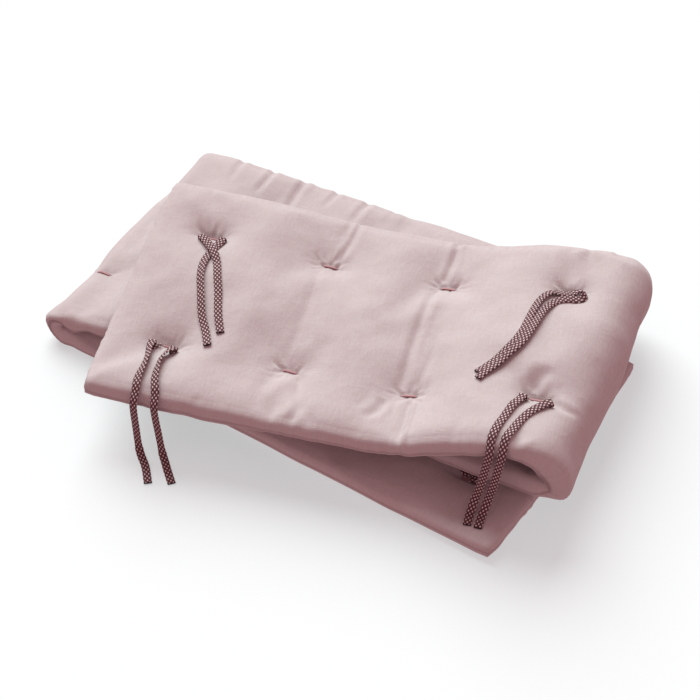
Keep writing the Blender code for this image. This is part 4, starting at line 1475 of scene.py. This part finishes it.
# the darker seam and the painted shade at tacks and fold ends: how sharply it starts, and its
# strength
SEAM_AND_SHADE_POWER = 3.0
SEAM_AND_SHADE_STRENGTH = 0.72
# the bump's heights in metres, how narrow the sharp wrinkles are, and the bump itself: strength,
# distance
WEAVE_HIGH = 0.00020
WRINKLE_HIGH = 0.00075
CREASE_HIGH = 0.00012
CREASE_POWER = 14.0
COTTON_BUMP = (1.0, 1.0)
TAPE_BUMP = (0.6, 0.0004)
KNIT_BUMP_SHARE = 0.6
# the tape's dots: their steps along and across, half their size, and their soft edge, in sizes
DOT_ALONG = 0.0056
DOT_ACROSS = 0.00414
DOT_LONG = 0.00118
DOT_WIDE = 0.00080
DOT_EDGE = (1.15, 0.80)
# how strong the painted shade over the cut end is
END_SHADE_STRENGTH = 1.2
# how a stitch's height gives the thread's painted highlight: times, plus
THREAD_PAINTED_LIGHT = (3.8, -2.8)


def new_material(name, roughness, sheen):
    """A cloth material: the material, its nodes and its shader."""
    material = bpy.data.materials.new(name)
    material.use_nodes = True
    tree = material.node_tree
    shader = tree.nodes["Principled BSDF"]
    shader.inputs["Roughness"].default_value = roughness
    shader.inputs["Specular IOR Level"].default_value = CLOTH_SPECULAR
    shader.inputs["Sheen Weight"].default_value = sheen
    shader.inputs["Sheen Roughness"].default_value = SHEEN_ROUGHNESS
    return material, tree, shader


def attribute(tree, name):
    """The values that the mesh stores under a name."""
    node = tree.nodes.new("ShaderNodeAttribute")
    node.attribute_name = name
    return node


def parted(tree, vector):
    """A vector's three parts, X, Y and Z."""
    node = tree.nodes.new("ShaderNodeSeparateXYZ")
    tree.links.new(vector, node.inputs[0])
    return node.outputs


def maths(tree, operation, *values):
    """A Math node over sockets and plain numbers."""
    node = tree.nodes.new("ShaderNodeMath")
    node.operation = operation
    for number, value in enumerate(values):
        if isinstance(value, (int, float)):
            node.inputs[number].default_value = value
        else:
            tree.links.new(value, node.inputs[number])
    return node.outputs[0]


def mixed(tree, share, first, second):
    """A colour between two, by a share."""
    node = tree.nodes.new("ShaderNodeMix")
    node.data_type = "RGBA"
    for socket, value in (("Factor_Float", share), ("A_Color", first), ("B_Color", second)):
        put = next(entry for entry in node.inputs if entry.identifier == socket)
        if isinstance(value, (tuple, float)):
            put.default_value = value
        else:
            tree.links.new(value, put)
    return next(entry for entry in node.outputs if entry.identifier == "Result_Color")


def scaled(tree, vector, size):
    """A vector multiplied axis by axis."""
    node = tree.nodes.new("ShaderNodeVectorMath")
    node.operation = "MULTIPLY"
    tree.links.new(vector, node.inputs[0])
    node.inputs[1].default_value = size
    return node.outputs[0]


def noise(tree, vector, size, detail=2.0, roughness=0.5):
    """Noise from 0 to 1 over a vector, with its own size along each axis."""
    node = tree.nodes.new("ShaderNodeTexNoise")
    node.inputs["Scale"].default_value = 1.0
    node.inputs["Detail"].default_value = detail
    node.inputs["Roughness"].default_value = roughness
    tree.links.new(scaled(tree, vector, size), node.inputs["Vector"])
    return node.outputs[0]


def bumped(tree, shader, height, strength, distance):
    """A bump on the shader's normal."""
    node = tree.nodes.new("ShaderNodeBump")
    node.inputs["Strength"].default_value = strength
    node.inputs["Distance"].default_value = distance
    tree.links.new(height, node.inputs["Height"])
    tree.links.new(node.outputs["Normal"], shader.inputs["Normal"])


def cotton_shade(tree, threads, patches):
    """How much of the deeper cotton shows, from 0 to 1."""
    shade = maths(tree, "MULTIPLY_ADD", threads, *THREADS_DEEPEN)
    shade = maths(tree, "ADD", shade, maths(tree, "MULTIPLY_ADD", patches, *PATCHES_DEEPEN))
    return maths(tree, "MINIMUM", maths(tree, "MAXIMUM", shade, 0.0), 1.0)


def sharp_wrinkles(tree, place):
    """Thin wrinkles, 1 on their ridges."""
    ridges = maths(tree, "MULTIPLY_ADD", noise(tree, place, *SHARP_WRINKLES), 2.0, -1.0)
    ridges = maths(tree, "SUBTRACT", 1.0, maths(tree, "ABSOLUTE", ridges))
    return maths(tree, "POWER", ridges, CREASE_POWER)


def cotton_material():
    """Dusty pink cotton: a plain weave with uneven threads, a darker seam line, and painted shade at
    tacks and fold ends.
    """
    material, tree, shader = new_material("pad_cotton", *COTTON_FINISH)
    place = attribute(tree, "cloth").outputs["Vector"]
    warp = noise(tree, place, *WARP)
    weft = noise(tree, place, *WEFT)
    slubs = maths(tree, "MULTIPLY", noise(tree, place, *SLUBS), SLUB_SHARE)
    threads = maths(tree, "ADD", maths(tree, "ADD", warp, weft), slubs)
    shade = cotton_shade(tree, threads, noise(tree, place, *PATCHES))
    cotton = mixed(tree, shade, COTTON, COTTON_DEEP)
    # the cloth's third value: the seam's dark line, and the painted shade at the tacks and fold ends
    seam = maths(tree, "POWER", parted(tree, place)["Z"], SEAM_AND_SHADE_POWER)
    seam = maths(tree, "MULTIPLY", seam, SEAM_AND_SHADE_STRENGTH)
    tree.links.new(mixed(tree, seam, cotton, SEAM_AND_PAINTED_SHADE), shader.inputs["Base Color"])
    wrinkles = maths(tree, "MULTIPLY", noise(tree, place, *SOFT_WRINKLES), WRINKLE_HIGH)
    creases = maths(tree, "MULTIPLY", sharp_wrinkles(tree, place), CREASE_HIGH)
    height = maths(tree, "ADD", maths(tree, "MULTIPLY", threads, WEAVE_HIGH), wrinkles)
    height = maths(tree, "ADD", height, creases)
    bumped(tree, shader, height, *COTTON_BUMP)
    return material


def off_whole(tree, value):
    """How far a value is past the nearest whole number, below 0 when it is short of it."""
    whole = maths(tree, "FLOOR", maths(tree, "ADD", value, 0.5))
    return maths(tree, "SUBTRACT", value, whole)


def dots(tree, along, across):
    """A slanting lattice of soft-edged dots, 1 on a dot and 0 beside it."""
    along = maths(tree, "MULTIPLY", along, 2.0 / DOT_ALONG)
    across = maths(tree, "MULTIPLY", across, 2.0 / DOT_ACROSS)
    near = []
    for sign in (1.0, -1.0):
        slant = maths(tree, "MULTIPLY_ADD", across, sign, along)
        near.append(off_whole(tree, maths(tree, "MULTIPLY", slant, 0.5)))
    squares = []
    for sum_of, step, size in (("ADD", DOT_ALONG, DOT_LONG), ("SUBTRACT", DOT_ACROSS, DOT_WIDE)):
        off = maths(tree, "MULTIPLY", maths(tree, sum_of, *near), step / 2 / size)
        squares.append(maths(tree, "MULTIPLY", off, off))
    dot = tree.nodes.new("ShaderNodeMapRange")
    dot.interpolation_type = "SMOOTHSTEP"
    tree.links.new(maths(tree, "SQRT", maths(tree, "ADD", *squares)), dot.inputs["Value"])
    dot.inputs["From Min"].default_value = DOT_EDGE[0]
    dot.inputs["From Max"].default_value = DOT_EDGE[1]
    return dot.outputs[0]


def tape_material():
    """Plum knitted tape with a lattice of small pale dots, and painted shade over its cut end."""
    material, tree, shader = new_material("tie_tape", *TAPE_FINISH)
    tape = attribute(tree, "tape").outputs["Vector"]
    along, across, cut = parted(tree, tape)
    dot = dots(tree, along, across)
    knit = noise(tree, tape, *KNIT)
    ground = mixed(tree, knit, TAPE_PLUM, TAPE_PLUM_LIGHT)
    colour = mixed(tree, dot, ground, TAPE_DOT)
    # painted shade over the tape's cut end
    cut = maths(tree, "MINIMUM", maths(tree, "MULTIPLY", cut, END_SHADE_STRENGTH), 1.0)
    tree.links.new(mixed(tree, cut, colour, TAPE_END_SHADE), shader.inputs["Base Color"])
    height = maths(tree, "ADD", dot, maths(tree, "MULTIPLY", knit, KNIT_BUMP_SHARE))
    bumped(tree, shader, height, *TAPE_BUMP)
    return material


def thread_material():
    """Rosy sewing thread, with a painted highlight on each stitch and painted shade between them and
    at the bar's sides.
    """
    material, tree, shader = new_material("bar_thread", *THREAD_FINISH)
    ridge = attribute(tree, "ridge").outputs["Fac"]
    share = maths(tree, "MULTIPLY_ADD", ridge, *THREAD_PAINTED_LIGHT)
    tree.links.new(mixed(tree, share, THREAD_PAINTED_SHADE, THREAD), shader.inputs["Base Color"])
    return material


make_camera()
make_key_light()
make_fill()
make_floor()
pad = make_pad(cotton_material())
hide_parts("pad")
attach(pad, "root")
cloth = BVHTree.FromObject(pad, bpy.context.evaluated_depsgraph_get())
make_bars(cloth, thread_material())
make_ties(cloth, tape_material())
